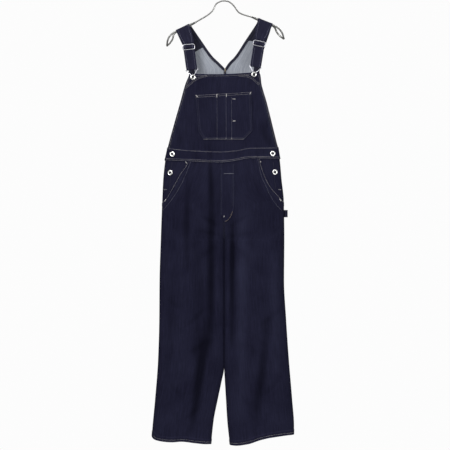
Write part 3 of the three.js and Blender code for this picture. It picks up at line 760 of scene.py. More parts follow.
def grid_quads(rows, cols, start=0):
    index = start + np.arange(rows * cols).reshape(rows, cols)
    return np.stack([index[:-1, :-1], index[:-1, 1:], index[1:, 1:], index[1:, :-1]], -1).reshape(-1, 4)


def circle(first, second, sides):
    """Directions round a ring, from two that cross at right angles."""
    angle = 2 * np.pi * np.arange(sides) / sides
    return first[..., None, :] * np.cos(angle)[:, None] + second[..., None, :] * np.sin(angle)[:, None]


def ring_quads(rings, sides, closed=False):
    """Faces between rings of points that follow each other."""
    index = np.arange(rings * sides).reshape(rings, sides)
    here, ahead = (index, np.roll(index, -1, 0)) if closed else (index[:-1], index[1:])
    return np.stack([here, np.roll(here, -1, 1), np.roll(ahead, -1, 1), ahead], -1).reshape(-1, 4)


def wall(outer, inner):
    """Points and faces of a closed wall between two grids, its rim pinched and rounded."""
    rows, cols = outer.shape[:2]
    r = [0] * (cols - 1) + list(range(rows - 1)) + [rows - 1] * (cols - 1) + list(range(rows - 1, 0, -1))
    c = list(range(cols - 1)) + [cols - 1] * (rows - 1) + list(range(cols - 1, 0, -1)) + [0] * (rows - 1)
    middle = (outer[r, c] + inner[r, c]) / 2
    outer, inner = outer.copy(), inner.copy()
    outer[r, c] = mix(middle, outer[r, c], RIM_PINCH)
    inner[r, c] = mix(middle, inner[r, c], RIM_PINCH)
    count = rows * cols
    near = np.array(r) * cols + np.array(c)
    rim = 2 * count + np.arange(len(near))
    ahead, rim_ahead = np.roll(near, -1), np.roll(rim, -1)
    top = grid_quads(rows, cols)
    under = grid_quads(rows, cols, count)[:, ::-1]
    upper = np.stack([ahead, near, rim, rim_ahead], -1)
    lower = np.stack([rim_ahead, rim, near + count, ahead + count], -1)
    points = np.concatenate([outer.reshape(-1, 3), inner.reshape(-1, 3), middle])
    faces = np.concatenate([top, upper, under, lower])
    slots = np.concatenate([np.zeros(len(top) + len(upper)), np.ones(len(under) + len(lower))])
    return points, faces, slots, near


def cloth_uv(grid):
    """Distances across and down a grid of points, measured along the cloth."""
    across = np.linalg.norm(np.diff(grid, axis=1), axis=-1)
    down = np.linalg.norm(np.diff(grid, axis=0), axis=-1)
    u = np.concatenate([np.zeros((grid.shape[0], 1)), np.cumsum(across, axis=1)], axis=1)
    v = np.concatenate([np.zeros((1, grid.shape[1])), np.cumsum(down, axis=0)], axis=0)
    return np.stack([u - u[:, -1:] / 2, -v], -1).reshape(-1, 2)


def three_layers(values, near):
    """Values of a wall's outer, inner and rim points, from those of its grid in rows."""
    return np.concatenate([values, values, values[near]])


def dress(made, node):
    """Ties a piece to the part's root body and hides the node it stands for."""
    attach(made, "root")
    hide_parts(node)
    return made


def cloth(node, place, outer, inner, hems=(), turned=0.0, faced_above=None):
    """A panel from place(off), a grid of points at a distance from its face, with its hems raised.
    Inside, the hems and all above faced_above show the cloth's face again."""
    base = place(0.0)
    x, z = base[..., 0], base[..., 2]
    rise, band, edge = relief(hems, x, z)
    points, faces, slots, near = wall(place(outer + rise), place(inner - turned * band))
    doubled = np.full(x.shape, -10.0)
    if turned:
        for line, width, _ in hems:
            doubled = np.maximum(doubled, width - nearest(line, x, z))
    if faced_above:
        x_at, z_at, slope = faced_above
        doubled = np.maximum(doubled, z - z_at - slope * (x - x_at))
    doubled = doubled.ravel()
    doubled[near] = RIM_TURN
    trough = fold_depth(BACK if node.startswith("back") else FRONT, x, z)
    marks = {"band": band.ravel(), "edge": edge.ravel(), "trough": trough.ravel(), "doubled": doubled}
    finishes = [DENIM_FACE, DENIM_REVERSE]
    return clothing(node, points, faces, near, finishes, slots, cloth_uv(base), marks)


def clothing(node, points, faces, near, finishes, slots, uv, marks):
    marks = {name: three_layers(values, near) for name, values in marks.items()}
    made = mesh_object(node + "_cloth", points, faces, finishes, slots, three_layers(uv, near), marks)
    return dress(made, node)


def spaced(length, step, head=0, foot=0, fine=1.5):
    """Positions from 0 to 1 along a length, closer together near its head and foot."""
    top = np.arange(0, head, fine)
    last = np.arange(length - foot, length, fine)
    middle = np.linspace(head, length - foot, max(int((length - head - foot) / step), 2), endpoint=False)
    return np.concatenate([top, middle, last, [length]]) / length


# Sewing


def resample(line, pitch=STITCH_PITCH):
    """Starts and ends of stitches along a line."""
    steps = np.linalg.norm(np.diff(line, axis=0), axis=-1)
    reach = np.concatenate([[0], np.cumsum(steps)])
    count = max(int(reach[-1] / pitch), 1)
    step = reach[-1] / count
    start = (np.arange(count) + (1 - STITCH_FILL) / 2) * step
    ends = np.stack([start, start + STITCH_FILL * step], -1)
    return np.stack([np.interp(ends, reach, line[:, k]) for k in range(line.shape[1])], -1)


def tack(x, z, angle, length):
    """Close stitches across a short bar, at an angle in degrees from level."""
    a = math.radians(angle)
    run, cross = np.array([math.cos(a), math.sin(a)]), np.array([-math.sin(a), math.cos(a)])
    place = np.arange(-length / 2, length / 2, TACK_PITCH)[:, None]
    middle = np.array([x, z]) + place * run
    half = cross * TACK_WIDTH / 2 + TACK_LEAN * run
    return np.stack([middle - half, middle + half], 1)


def surface(face, off, hems=(), sign=1):
    """Where sewing lies: a function from x and z to points and normals on a panel.
    The sign is -1 for the panel's inside."""

    def at(x, z):
        rise = off + sign * (relief(hems, x, z)[0] if hems else 0.0)
        here = face_point(face, x, z, rise)
        across = face_point(face, x + 1.0, z, rise) - here
        down = face_point(face, x, z - 1.0, rise) - here
        normal = unit(np.cross(across, down))
        return here, normal * np.where(normal[..., 1:2] * face["sign"] * sign < 0, -1, 1)

    return at


def thread_points(start, end, normal, radius):
    """Short rounded threads from start to end, both ends dipping into the cloth."""
    side = unit(np.cross(unit(end - start), normal))
    t, wide, lift = STITCH_RINGS.T
    centre = start[:, None] + (end - start)[:, None] * t[None, :, None]
    centre = centre + normal[:, None] * (radius * lift)[None, :, None]
    ring = circle(side, normal, THREAD_SIDES)
    return centre[:, :, None] + ring[:, None] * (radius * wide)[None, :, None, None]


def thread_faces(count):
    size = len(STITCH_RINGS) * THREAD_SIDES
    starts = size * np.arange(count)[:, None, None]
    end = np.arange(THREAD_SIDES)
    sides = (starts + ring_quads(len(STITCH_RINGS), THREAD_SIDES)).reshape(-1, 4).tolist()
    foot = (starts[:, 0] + end[::-1]).tolist()
    head = (starts[:, 0] + size - THREAD_SIDES + end).tolist()
    return sides + foot + head


def sew(node, parts):
    """One piece of sewing from (stitches in x and z, surface, thread radius, shade) parts."""
    pieces, shades = [], []
    for stitches, where, radius, shade in parts:
        start, normal = where(stitches[:, 0, 0], stitches[:, 0, 1])
        end, _ = where(stitches[:, 1, 0], stitches[:, 1, 1])
        pieces.append(thread_points(start, end, normal, radius))
        shades += [shade] * len(stitches)
    return sewn_object(node, pieces, shades)


def sewn_object(node, pieces, shades):
    points = np.concatenate(pieces)
    used = sorted(set(shades))
    places = np.searchsorted(used, shades)
    slots = np.concatenate([np.repeat(places, (len(STITCH_RINGS) - 1) * THREAD_SIDES), places, places])
    threads = [THREADS[shade] for shade in used]
    made = mesh_object(node + "_sewing", points.reshape(-1, 3), thread_faces(len(points)), threads, slots)
    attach(made, "root")
    return made


def rows(kind, line, towards, where, shade=None):
    """Rows of one kind beside a line, on the side of it that a point lies on."""
    distances, usual = ROWS[kind]
    thread = usual if shade is None else shade
    return [(resample(inset(line, d, towards)), where, THREAD, thread) for d in distances]


def tacks(node, where):
    return [(tack(*row[:4]), where, TACK_THREAD, row[4]) for row in TACKS[node]]


# Finishes


def feed(tree, sockets, values):
    """Links each value that is a socket to the input of that name, and sets the others there."""
    for key, value in values.items():
        if isinstance(value, bpy.types.NodeSocket):
            tree.links.new(value, sockets[key])
        else:
            sockets[key].default_value = value


def make(tree, kind, values=None, **settings):
    """A node with its settings, its inputs fed."""
    made = tree.nodes.new(kind)
    for key, value in settings.items():
        setattr(made, key, value)
    feed(tree, made.inputs, values or {})
    return made


def maths(tree, operation, a, b=0.0, c=None, clamp=False):
    values = {0: a, 1: b}
    if c is not None:
        values[2] = c
    return make(tree, "ShaderNodeMath", values, operation=operation, use_clamp=clamp).outputs[0]


def noise(tree, vector, scale, detail=3.0, roughness=0.55):
    values = {"Vector": vector, "Scale": scale, "Detail": detail, "Roughness": roughness}
    return make(tree, "ShaderNodeTexNoise", values).outputs["Fac"]


def stretched(tree, vector, scale):
    return make(tree, "ShaderNodeMapping", {"Vector": vector, "Scale": scale}).outputs[0]


def blend(tree, factor, a, b):
    return make(tree, "ShaderNodeMix", {0: factor, 6: a, 7: b}, data_type="RGBA").outputs[2]


def bump(tree, height, strength, distance, **normal):
    values = {"Strength": strength, "Distance": distance, "Height": height, **normal}
    return make(tree, "ShaderNodeBump", values).outputs[0]


def object_place(tree):
    return make(tree, "ShaderNodeTexCoord").outputs["Object"]


def remap(tree, value, low, high, to_low=0.0, to_high=1.0):
    values = {0: value, 1: low, 2: high, 3: to_low, 4: to_high}
    return make(tree, "ShaderNodeMapRange", values).outputs[0]


def group(name, marks, results):
    """An empty node group that takes coordinates and marks and gives results, and its two ends."""
    tree = bpy.data.node_groups.new(name, "ShaderNodeTree")
    tree.interface.new_socket(name="Coordinates", in_out="INPUT", socket_type="NodeSocketVector")
    for socket in marks:
        tree.interface.new_socket(name=socket, in_out="INPUT", socket_type="NodeSocketFloat")
    for socket in results:
        tree.interface.new_socket(name=socket, in_out="OUTPUT", socket_type="NodeSocketFloat")
    return tree, tree.nodes.new("NodeGroupInput").outputs, tree.nodes.new("NodeGroupOutput").inputs


def twill_group():
    """Diagonal ridges of a three-and-one twill, with uneven warp yarns."""
    tree, given, out = group("Twill weave", [], ["Height", "Pale weft", "Yarn tone"])
    place = given["Coordinates"]
    split = make(tree, "ShaderNodeSeparateXYZ", {0: place}).outputs
    wander = maths(tree, "MULTIPLY", noise(tree, place, 220.0, 2.0), 0.0011)
    slant = maths(tree, "ADD", maths(tree, "MULTIPLY_ADD", split[0], 0.85, wander), split[1])
    wave = maths(tree, "SINE", maths(tree, "MULTIPLY", slant, 2 * math.pi * TWILL_RIDGES))
    ridge = maths(tree, "MULTIPLY_ADD", wave, 0.5, 0.5)
    yarn = noise(tree, stretched(tree, place, (1500.0, 46.0, 1.0)), 1.0, 2.0)
    slub = noise(tree, stretched(tree, place, (420.0, 14.0, 1.0)), 1.0, 3.0)
    tone = maths(tree, "MULTIPLY_ADD", slub, 0.6, maths(tree, "MULTIPLY", yarn, 0.4))
    fleck = remap(tree, noise(tree, place, 1700.0, 1.0), 0.45, 0.75)
    hollow = maths(tree, "POWER", maths(tree, "SUBTRACT", 1.0, ridge), 2.0)
    weft = maths(tree, "MULTIPLY", hollow, maths(tree, "MULTIPLY_ADD", fleck, 0.7, 0.3), clamp=True)
    height = maths(tree, "MULTIPLY_ADD", ridge, 0.7, maths(tree, "MULTIPLY", yarn, 0.3))
    feed(tree, out, {"Height": height, "Pale weft": weft, "Yarn tone": tone})
    return tree


def wear_and_fold_light_group():
    """Where cloth is paler from wear at its edges, with painted highlight on fold ridges and painted shade in
    fold troughs, and the small puckers along its sewing.
    """
    marks = ["Band", "Edge", "Trough"]
    tree, given, out = group("Cloth wear and painted fold light", marks, ["Wear and painted highlight", "Painted fold shade", "Pucker"])
    place = given["Coordinates"]
    broad = remap(tree, noise(tree, place, 9.0, 4.0, 0.6), 0.35, 0.7)
    cloth_marks = remap(tree, noise(tree, place, 150.0, 3.0, 0.65), 0.42, 0.62)
    rope = noise(tree, stretched(tree, place, (190.0, 190.0, 1.0)), 1.0, 2.0)
    # Fold ridges: made paler below as a painted highlight
    ridge = remap(tree, given["Trough"], 0.0, -6.0)
    abraded = maths(tree, "MULTIPLY", given["Edge"], maths(tree, "MULTIPLY_ADD", cloth_marks, 0.75, 0.25))
    # Paler with wear at hems and seams, plus painted highlight on fold ridges, plus tone that varies at
    # random
    wear_and_highlight = maths(tree, "ADD", maths(tree, "MULTIPLY", abraded, 0.55), maths(tree, "MULTIPLY", ridge, 0.3))
    wear_and_highlight = maths(tree, "MULTIPLY_ADD", broad, 0.2, wear_and_highlight, clamp=True)
    # Painted shade: darker the deeper a fold's trough
    painted_fold_shade = remap(tree, given["Trough"], 0.8, 6.0)
    pucker = maths(tree, "MULTIPLY", maths(tree, "MAXIMUM", given["Band"], given["Edge"]), rope)
    feed(tree, out, {"Wear and painted highlight": wear_and_highlight, "Painted fold shade": painted_fold_shade, "Pucker": pucker})
    return tree


def metal_group():
    """Fine handling marks on bare metal."""
    tree, given, out = group("Metal handling", [], ["Scuff", "Height"])
    cloud = noise(tree, given["Coordinates"], 130.0, 4.0, 0.6)
    grain = noise(tree, given["Coordinates"], 900.0, 2.0, 0.6)
    scuff = maths(tree, "MULTIPLY_ADD", cloud, 0.65, maths(tree, "MULTIPLY", grain, 0.35))
    height = maths(tree, "MULTIPLY_ADD", grain, 0.4, maths(tree, "MULTIPLY", cloud, 0.6))
    feed(tree, out, {"Scuff": scuff, "Height": height})
    return tree


def finish(name):
    material = bpy.data.materials.new(name)
    material.use_nodes = True
    tree = material.node_tree
    return material, tree, tree.nodes["Principled BSDF"]


def use_group(tree, source, values):
    return make(tree, "ShaderNodeGroup", values, node_tree=source).outputs


def mark(tree, name):
    return make(tree, "ShaderNodeAttribute", attribute_name=name).outputs["Fac"]


def denim_finish(name, dark, light, pale, weft_share, doubled=None):
    """Twill cloth, paler with wear, with painted highlight on fold ridges and painted shade in fold troughs;
    doubled gives the colours that show where the cloth is turned over.
    """
    material, tree, shader = finish(name)
    place = make(tree, "ShaderNodeUVMap", uv_map="Cloth").outputs[0]
    woven = use_group(tree, TWILL, {"Coordinates": place})
    marks = {"Band": mark(tree, "band"), "Edge": mark(tree, "edge"), "Trough": mark(tree, "trough")}
    cloth_marks = use_group(tree, WEAR_AND_FOLD_LIGHT, {"Coordinates": place, **marks})
    tone = remap(tree, woven["Yarn tone"], 0.36, 0.64)
    colour = blend(tree, tone, dark, light)
    colour = blend(tree, maths(tree, "MULTIPLY", woven["Pale weft"], weft_share), colour, pale)
    # Paler with wear, and painted highlight on fold ridges
    colour = blend(tree, maths(tree, "MULTIPLY", cloth_marks["Wear and painted highlight"], 0.3), colour, pale)
    # Painted shade for fold troughs, half as dark as the darkest yarn
    shade = tuple(0.5 * part for part in dark[:3]) + (1.0,)
    colour = blend(tree, maths(tree, "MULTIPLY", cloth_marks["Painted fold shade"], 0.8), colour, shade)
    if doubled:
        turned = remap(tree, mark(tree, "doubled"), -0.4, 0.4)
        colour = blend(tree, turned, colour, blend(tree, tone, *doubled))
    roughness = remap(tree, woven["Height"], 0.0, 1.0, 0.98, 0.88)
    weave_bump = bump(tree, woven["Height"], 0.35, 0.0002)
    relief_bump = bump(tree, cloth_marks["Pucker"], 0.8, 0.0012, Normal=weave_bump)
    feed(tree, shader.inputs, {"Base Color": colour, "Roughness": roughness, "Normal": relief_bump})
    shader.inputs["Specular IOR Level"].default_value = 0.03
    return material


def thread_finish(name, dark, light):
    material, tree, shader = finish(name)
    place = object_place(tree)
    tone = remap(tree, noise(tree, place, 60.0, 2.0), 0.35, 0.65)
    twist = noise(tree, stretched(tree, place, (2600.0, 900.0, 2600.0)), 1.0, 1.0)
    normal = bump(tree, twist, 0.5, 0.0001)
    feed(tree, shader.inputs, {"Base Color": blend(tree, tone, dark, light), "Normal": normal})
    shader.inputs["Roughness"].default_value = 0.6
    return material


def metal_finish(name, clean, dull, low, high):
    """Bare metal between a clean and a dull colour, and a low and a high roughness."""
    material, tree, shader = finish(name)
    marks = use_group(tree, HANDLING, {"Coordinates": object_place(tree)})
    colour = blend(tree, remap(tree, marks["Scuff"], 0.4, 0.62), clean, dull)
    roughness = remap(tree, marks["Scuff"], 0.35, 0.65, low, high)
    normal = bump(tree, marks["Height"], 0.12, 0.0001)
    feed(tree, shader.inputs, {"Base Color": colour, "Roughness": roughness, "Normal": normal})
    shader.inputs["Metallic"].default_value = 1.0
    return material


def floor_finish():
    material, tree, shader = finish("Pale floor")
    tone = noise(tree, object_place(tree), 14.0, 4.0)
    colour = blend(tree, tone, (0.78, 0.78, 0.77, 1), (0.84, 0.84, 0.83, 1))
    feed(tree, shader.inputs, {"Base Color": colour})
    shader.inputs["Roughness"].default_value = 0.7
    return material


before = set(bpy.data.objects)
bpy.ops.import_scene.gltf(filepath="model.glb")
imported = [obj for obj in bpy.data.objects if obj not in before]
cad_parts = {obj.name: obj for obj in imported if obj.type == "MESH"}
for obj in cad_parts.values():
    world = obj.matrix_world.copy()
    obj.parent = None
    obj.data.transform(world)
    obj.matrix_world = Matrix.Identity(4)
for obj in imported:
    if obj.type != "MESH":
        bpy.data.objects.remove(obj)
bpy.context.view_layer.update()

TWILL = twill_group()
WEAR_AND_FOLD_LIGHT = wear_and_fold_light_group()
HANDLING = metal_group()
INDIGO = ((0.0060, 0.0059, 0.0142, 1), (0.0129, 0.0126, 0.0293, 1))
STRAP_INDIGO = ((0.0086, 0.0084, 0.0175, 1), (0.019, 0.0185, 0.0375, 1))
# The cloth's face where it shows inside, painted lighter than the indigo outside: painted light against the
# shade that the straps cast inside the back
FACING_PAINTED_LIGHTER = ((0.017, 0.017, 0.029, 1), (0.032, 0.032, 0.05, 1))
DENIM_FACE = denim_finish("Indigo denim", *INDIGO, (0.08, 0.085, 0.16, 1), 0.07)
STRAP_FACE = denim_finish("Strap denim", *STRAP_INDIGO, (0.09, 0.094, 0.165, 1), 0.07)
DENIM_REVERSE = denim_finish(
    "Denim reverse", (0.2, 0.215, 0.26, 1), (0.41, 0.435, 0.485, 1), (0.5, 0.52, 0.56, 1), 0.5, FACING_PAINTED_LIGHTER
)
THREADS = [
    thread_finish("Bar thread", (0.5, 0.49, 0.48, 1), (0.78, 0.76, 0.74, 1)),
    thread_finish("Pale thread", (0.21, 0.205, 0.215, 1), (0.38, 0.365, 0.37, 1)),
    thread_finish("Blue thread", (0.11, 0.115, 0.165, 1), (0.2, 0.205, 0.275, 1)),
    thread_finish("Dim thread", (0.075, 0.077, 0.105, 1), (0.15, 0.153, 0.195, 1)),
    thread_finish("Tonal thread", (0.011, 0.011, 0.022, 1), (0.024, 0.024, 0.04, 1)),
    thread_finish("Tan thread", (0.26, 0.19, 0.09, 1), (0.42, 0.33, 0.19, 1)),
]
FITTINGS_FINISH = metal_finish("Bright fittings", (0.93, 0.93, 0.91, 1), (0.8, 0.8, 0.78, 1), 0.16, 0.34)
WIRE_FINISH = metal_finish("Wire fittings", (0.7, 0.7, 0.75, 1), (0.54, 0.54, 0.6, 1), 0.25, 0.45)
HANGER_FINISH = metal_finish("Hanger wire", (0.34, 0.34, 0.33, 1), (0.2, 0.2, 0.19, 1), 0.35, 0.55)
# The buttons' hollow middles, painted dark as the shade deep in the hole
HOLE_SHADE_FINISH = metal_finish("Button hole painted shade", (0.06, 0.06, 0.065, 1), (0.03, 0.03, 0.035, 1), 0.4, 0.6)


# Front panels


def both_halves(steps):
    """u across both halves in one sheet, with so many steps in each."""
    half = np.linspace(0, 1, steps + 1)
    return np.concatenate([half, 1 + half[1:]])[None, :]


def bib():
    top = line_of(bib_top, -112, 110)
    sides = [line_of(FRONT[side], -243, -490, swap=True) for side in SIDES]
    hems = [(top, *BIB_TOP_TURN)] + [(edge, *BIB_SIDE_TURN) for edge in sides]
    u = both_halves(60)
    head = bib_top(whole_point(FRONT, u, np.full_like(u, -240.0))[..., 0])
    z = mix(head, BIB_FOOT, spaced(267, 3.2, head=16)[:, None])
    made = cloth("bib", lambda off: whole_point(FRONT, u + 0 * z, z, off), 0, -DENIM, hems, BIB_INSIDE_RISE)
    where = surface(FRONT, 0.0, hems)
    sewing = rows("bib top", top, CHEST, where)
    for edge in sides:
        sewing += rows("bib side", edge, CHEST, where) + rows("bib side inner", edge, CHEST, where)
    for line in BIB_CORNERS:
        sewing += rows("bib corner", straight(*line), CHEST, where)
    return made, sew("bib", sewing)


def bib_pocket():
    (foot, foot_left, foot_right), (bend, bend_left, bend_right), (level, left, right) = POCKET
    head_left, head_right = (left, POCKET_HEAD[0]), (right, POCKET_HEAD[1])
    edge = straight(
        head_left, (bend_left, bend), (foot_left, foot), (foot_right, foot), (bend_right, bend), head_right
    )
    top = straight(head_left, head_right)
    hems = [(edge, *POCKET_TURN), (top, *POCKET_HEAD_TURN)]
    u = spaced(186, 3.0, head=9, foot=9)[None, :]
    v = spaced(148, 3.0, head=12, foot=9)[:, None]
    x_left, x_right = (
        np.interp(mix(level, foot, v), [row[0] for row in POCKET], [row[k] for row in POCKET]) for k in (1, 2)
    )
    x, z = mix(x_left, x_right, u), mix(mix(*POCKET_HEAD, u), foot, v)
    made = cloth("bib_pocket", lambda off: face_point(FRONT, x, z, off), LAY_GAP + DENIM, LAY_GAP, hems)
    where = surface(FRONT, LAY_GAP + DENIM, hems)
    sewing = rows("pocket edge", edge, CHEST, where) + rows("pocket head", top, CHEST, where)
    sewing += rows("pocket foot", edge[2:4], CHEST, where)
    sewing += rows("pocket foot inner", edge[2:4], CHEST, where)
    sewing += rows("pocket corner", edge[3:5], CHEST, where)
    for x_at in POCKET_DIVIDERS:
        sewing += rows("pocket divider", straight((x_at, -317), (x_at + 0.6, -452)), CHEST, where)
    return made, sew("bib_pocket", sewing + tacks("bib_pocket", where))


def front_waistband():
    top, foot = (line_of(BAND[name], -192, 176) for name in ("top", "foot"))
    hems = [(top, *BAND_TOP_TURN), (foot, *BAND_FOOT_TURN)]
    u = both_halves(70)
    x = whole_point(FRONT, u, np.full_like(u, -505.0))[..., 0]
    z = mix(BAND["top"](x), BAND["foot"](x), np.linspace(0, 1, 27)[:, None])
    node = "front_waistband"
    made = cloth(node, lambda off: whole_point(FRONT, u + 0 * z, z, off), LAY_GAP + DENIM, LAY_GAP, hems)
    where = surface(FRONT, LAY_GAP + DENIM, hems)
    middle = (CHEST[0], WAIST)
    sewing = rows("waistband top", top, middle, where) + rows("waistband foot", foot, middle, where)
    return made, sew(node, sewing)


def fly():
    side = straight((FLY_RIGHT, FLY_ROW_HEAD), (FLY_RIGHT, -676))
    hook = np.concatenate([side, line_of(FLY_FOOT, 29.5, 0, 12)])
    left = straight((FLY_LEFT, FLY_ROW_HEAD), (FLY_LEFT, -704))
    hems = [(hook, *FLY_HOOK_TURN), (left, *FLY_LEFT_TURN)]
    x = np.linspace(FLY_LEFT, FLY_RIGHT, 24)[None, :]
    z = mix(FLY_HEAD, FLY_FOOT(x), spaced(180, 3.2)[:, None])
    thick = LAY_GAP + FLY_THICK
    made = cloth("fly", lambda off: face_point(FRONT, x + 0 * z, z, off), thick, LAY_GAP, hems)
    where = surface(FRONT, thick, hems)
    middle = (5, -620)
    sewing = rows("fly right", side, middle, where) + rows("fly left", left, middle, where)
    sewing += rows("fly hook", hook[3:], (5, -660), where)
    return made, sew("fly", sewing + tacks("fly", where))


def hem_line(side, face):
    q = np.linspace(0.02, 0.98, 40)
    return half_point(face, side, q, HEM[side](q))[:, [0, 2]]


def leg_grid(side, head, rows_above, columns_across, start_at):
    """q and z of a leg's points: level rows to below the pocket, then rows down to the slanted hem."""
    u = np.linspace(0, 1, columns_across)[None, :]
    upper = np.linspace(head, LEG_UPPER_FOOT, rows_above)[:-1, None] + 0 * u
    start = start_at(upper)
    down = spaced(LEG_LENGTH, 4.2, foot=24)[:, None]
    lower_q = u + 0 * down
    lower = mix(LEG_UPPER_FOOT, HEM[side](lower_q), down)
    return np.concatenate([start + (1 - start) * u, lower_q]), np.concatenate([upper, lower])


def front_leg(side):
    hem = hem_line(side, FRONT)
    scoop = line_of(SCOOP[side], -515, SCOOP_FOOT, swap=True)
    hems = [(hem, *LEG_HEM_TURN), (scoop, *SCOOP_TURN)]
    q, z = leg_grid(side, LEG_HEAD, 50, 60, lambda level: scoop_start(side, level))
    node = "front_leg_" + side
    made = cloth(node, lambda off: half_point(FRONT, side, q, z, off), 0, -DENIM, hems, LEG_INSIDE_RISE)
    inside = (OUTWARD[side] * IN_LEG, -900)
    where = surface(FRONT, 0.0, hems)
    scoop_inner = line_of(SCOOP_ROW[side], -520, -690, swap=True)
    rise = straight((CENTRE_SEAM, -730), (CENTRE_SEAM, -782))
    sewing = rows("hem", hem, inside, where) + rows("scoop", scoop, (OUTWARD[side] * 60, -700), where)
    sewing += rows("scoop inner", scoop_inner, inside, where) + rows("front rise", rise, inside, where)
    return made, sew(node, sewing + tacks(node, where))


def hip_piece(side):
    z = np.linspace(LEG_HEAD, LEG_UPPER_FOOT + 10, 52)[:, None]
    share = np.concatenate([np.linspace(0, 1, 26), HIP_PIECE_LAP])[None, :]
    q = share * np.maximum(scoop_start(side, z), 0.12)

    def place(off, at_q=q, at_z=z + 0 * q):
        return half_point(FRONT, side, at_q, at_z, off - hip_sink(side, at_q, at_z))

    def where(x, at_z):
        at_q = half_across(FRONT, side, x, at_z)
        here = place(0, at_q, at_z)
        return here, unit(here - place(-2, at_q, at_z))

    node = "hip_piece_" + side
    made = cloth(node, place, 0, -DENIM)
    placket = line_of(lambda level: FRONT[side](level) - OUTWARD[side] * PLACKET, -530, -618, swap=True)
    return made, sew(node, tacks(node, where) + rows("placket", placket, CHEST, where))


# Back panels


def back_leg(side):
    hem = hem_line(side, BACK)
    waist = straight((OUTWARD[side] * 188, BACK_SEAM - 1), (0, BACK_SEAM - 1))
    seat = straight((CENTRE_SEAM, -505), (CENTRE_SEAM, -782))
    hems = [(hem, *LEG_HEM_TURN), (waist, *BACK_WAIST_TURN), (seat, *SEAT_TURN)]
    q, z = leg_grid(side, BACK_SEAM, 46, 58, lambda level: 0 * level)
    node = "back_leg_" + side
    made = cloth(node, lambda off: half_point(BACK, side, q, z, off), 0, -DENIM, hems, LEG_INSIDE_RISE)
    where = surface(BACK, 0.0, hems)
    sewing = []
    for kind, line in (("hem", hem), ("back waist", waist), ("seat " + side, seat)):
        sewing += rows(kind, line, (OUTWARD[side] * IN_LEG, -900), where)
    return made, sew(node, sewing)


def back_bib(side):
    s = STRAPS[side]
    shoulder_x, shoulder_z = s["shoulder"]
    tilt = math.tan(math.radians(s["shoulder_tilt"]))
    neck_foot = NECK_EDGES[-1][0]

    def inner_q(z):
        return np.where(z > neck_foot, half_across(BACK, side, NECK[side](z), z), 1.0)

    u = spaced(110, 2.6, head=14, foot=14)[None, :]
    horn = np.linspace(0, 1, 50)[:-1, None]
    body = np.linspace(neck_foot, BACK_SEAM + SEAM, 80)[:, None]
    z = shoulder_z + 0 * (u + horn)
    for _ in range(10):
        x = half_point(BACK, side, u * inner_q(z), z)[..., 0]
        head = shoulder_z + (x - shoulder_x) * tilt - HANGER_WIRE - HORN_GAP
        z = mix(head, neck_foot, horn)
    z = np.concatenate([z, body + 0 * u])
    q = u * inner_q(z)
    neck = line_of(NECK[side], -78, neck_foot + 3, swap=True)
    arm = line_of(BACK[side], -100, -490, swap=True)
    spine = straight((0, neck_foot - 4), (-2, -494))
    hems = [(neck, *NECK_TURN), (arm, *ARM_TURN), (spine, *SPINE_TURN)]
    node = "back_bib_" + side
    faced = s["faced_above"]
    made = cloth(node, lambda off: half_point(BACK, side, q, z, off), 0, -DENIM, hems, INSIDE_RISE, faced)
    raised = [(line, width, INSIDE_RISE) for line, width, _ in hems]
    sewing = []
    for where, shade in ((surface(BACK, 0.0, hems), None), (surface(BACK, -DENIM, raised, -1), TONAL)):
        for kind, line in (("neck", neck), ("armhole", arm), ("spine " + side, spine)):
            sewing += rows(kind, line, (OUTWARD[side] * IN_BACK, -330), where, shade)
        sewing += tacks(node, where)
    return made, sew(node, sewing)


# Straps and the hammer loop


def tilted(degrees):
    """Directions across and up a piece that leans in the X Z plane."""
    a = math.radians(degrees)
    return np.array([math.cos(a), 0, math.sin(a)]), np.array([-math.sin(a), 0, math.cos(a)])


def strap_places(side):
    """What a strap passes, each as a point in the part's frame."""
    s = STRAPS[side]
    seat = face_point(FRONT, *s["button"])
    clip_y = seat[1] - CLIP_LIFT - CLIP_HALF
    button = np.array([s["button"][0], clip_y, s["button"][1]])
    return dict(
        seat=seat,
        button=button,
        bar=button + tilted(s["clip_tilt"])[1] * CLIP_DROP,
        slider=np.array([s["slider"][0], clip_y - SLIDER_LIFT, s["slider"][1]]),
        shoulder=np.array([s["shoulder"][0], 0.0, s["shoulder"][1]]),
    )


def weave(distance):
    """Bend of the strap near the slider's middle bar, behind an outer bar above 0."""
    d = abs(distance)
    if d <= BAR_STEP:
        return -WEAVE * math.cos(math.pi * d / BAR_STEP)
    if d >= BAR_STEP + WEAVE_EASE:
        return 0.0
    return WEAVE * (0.5 + 0.5 * math.cos(math.pi * (d - BAR_STEP) / WEAVE_EASE))


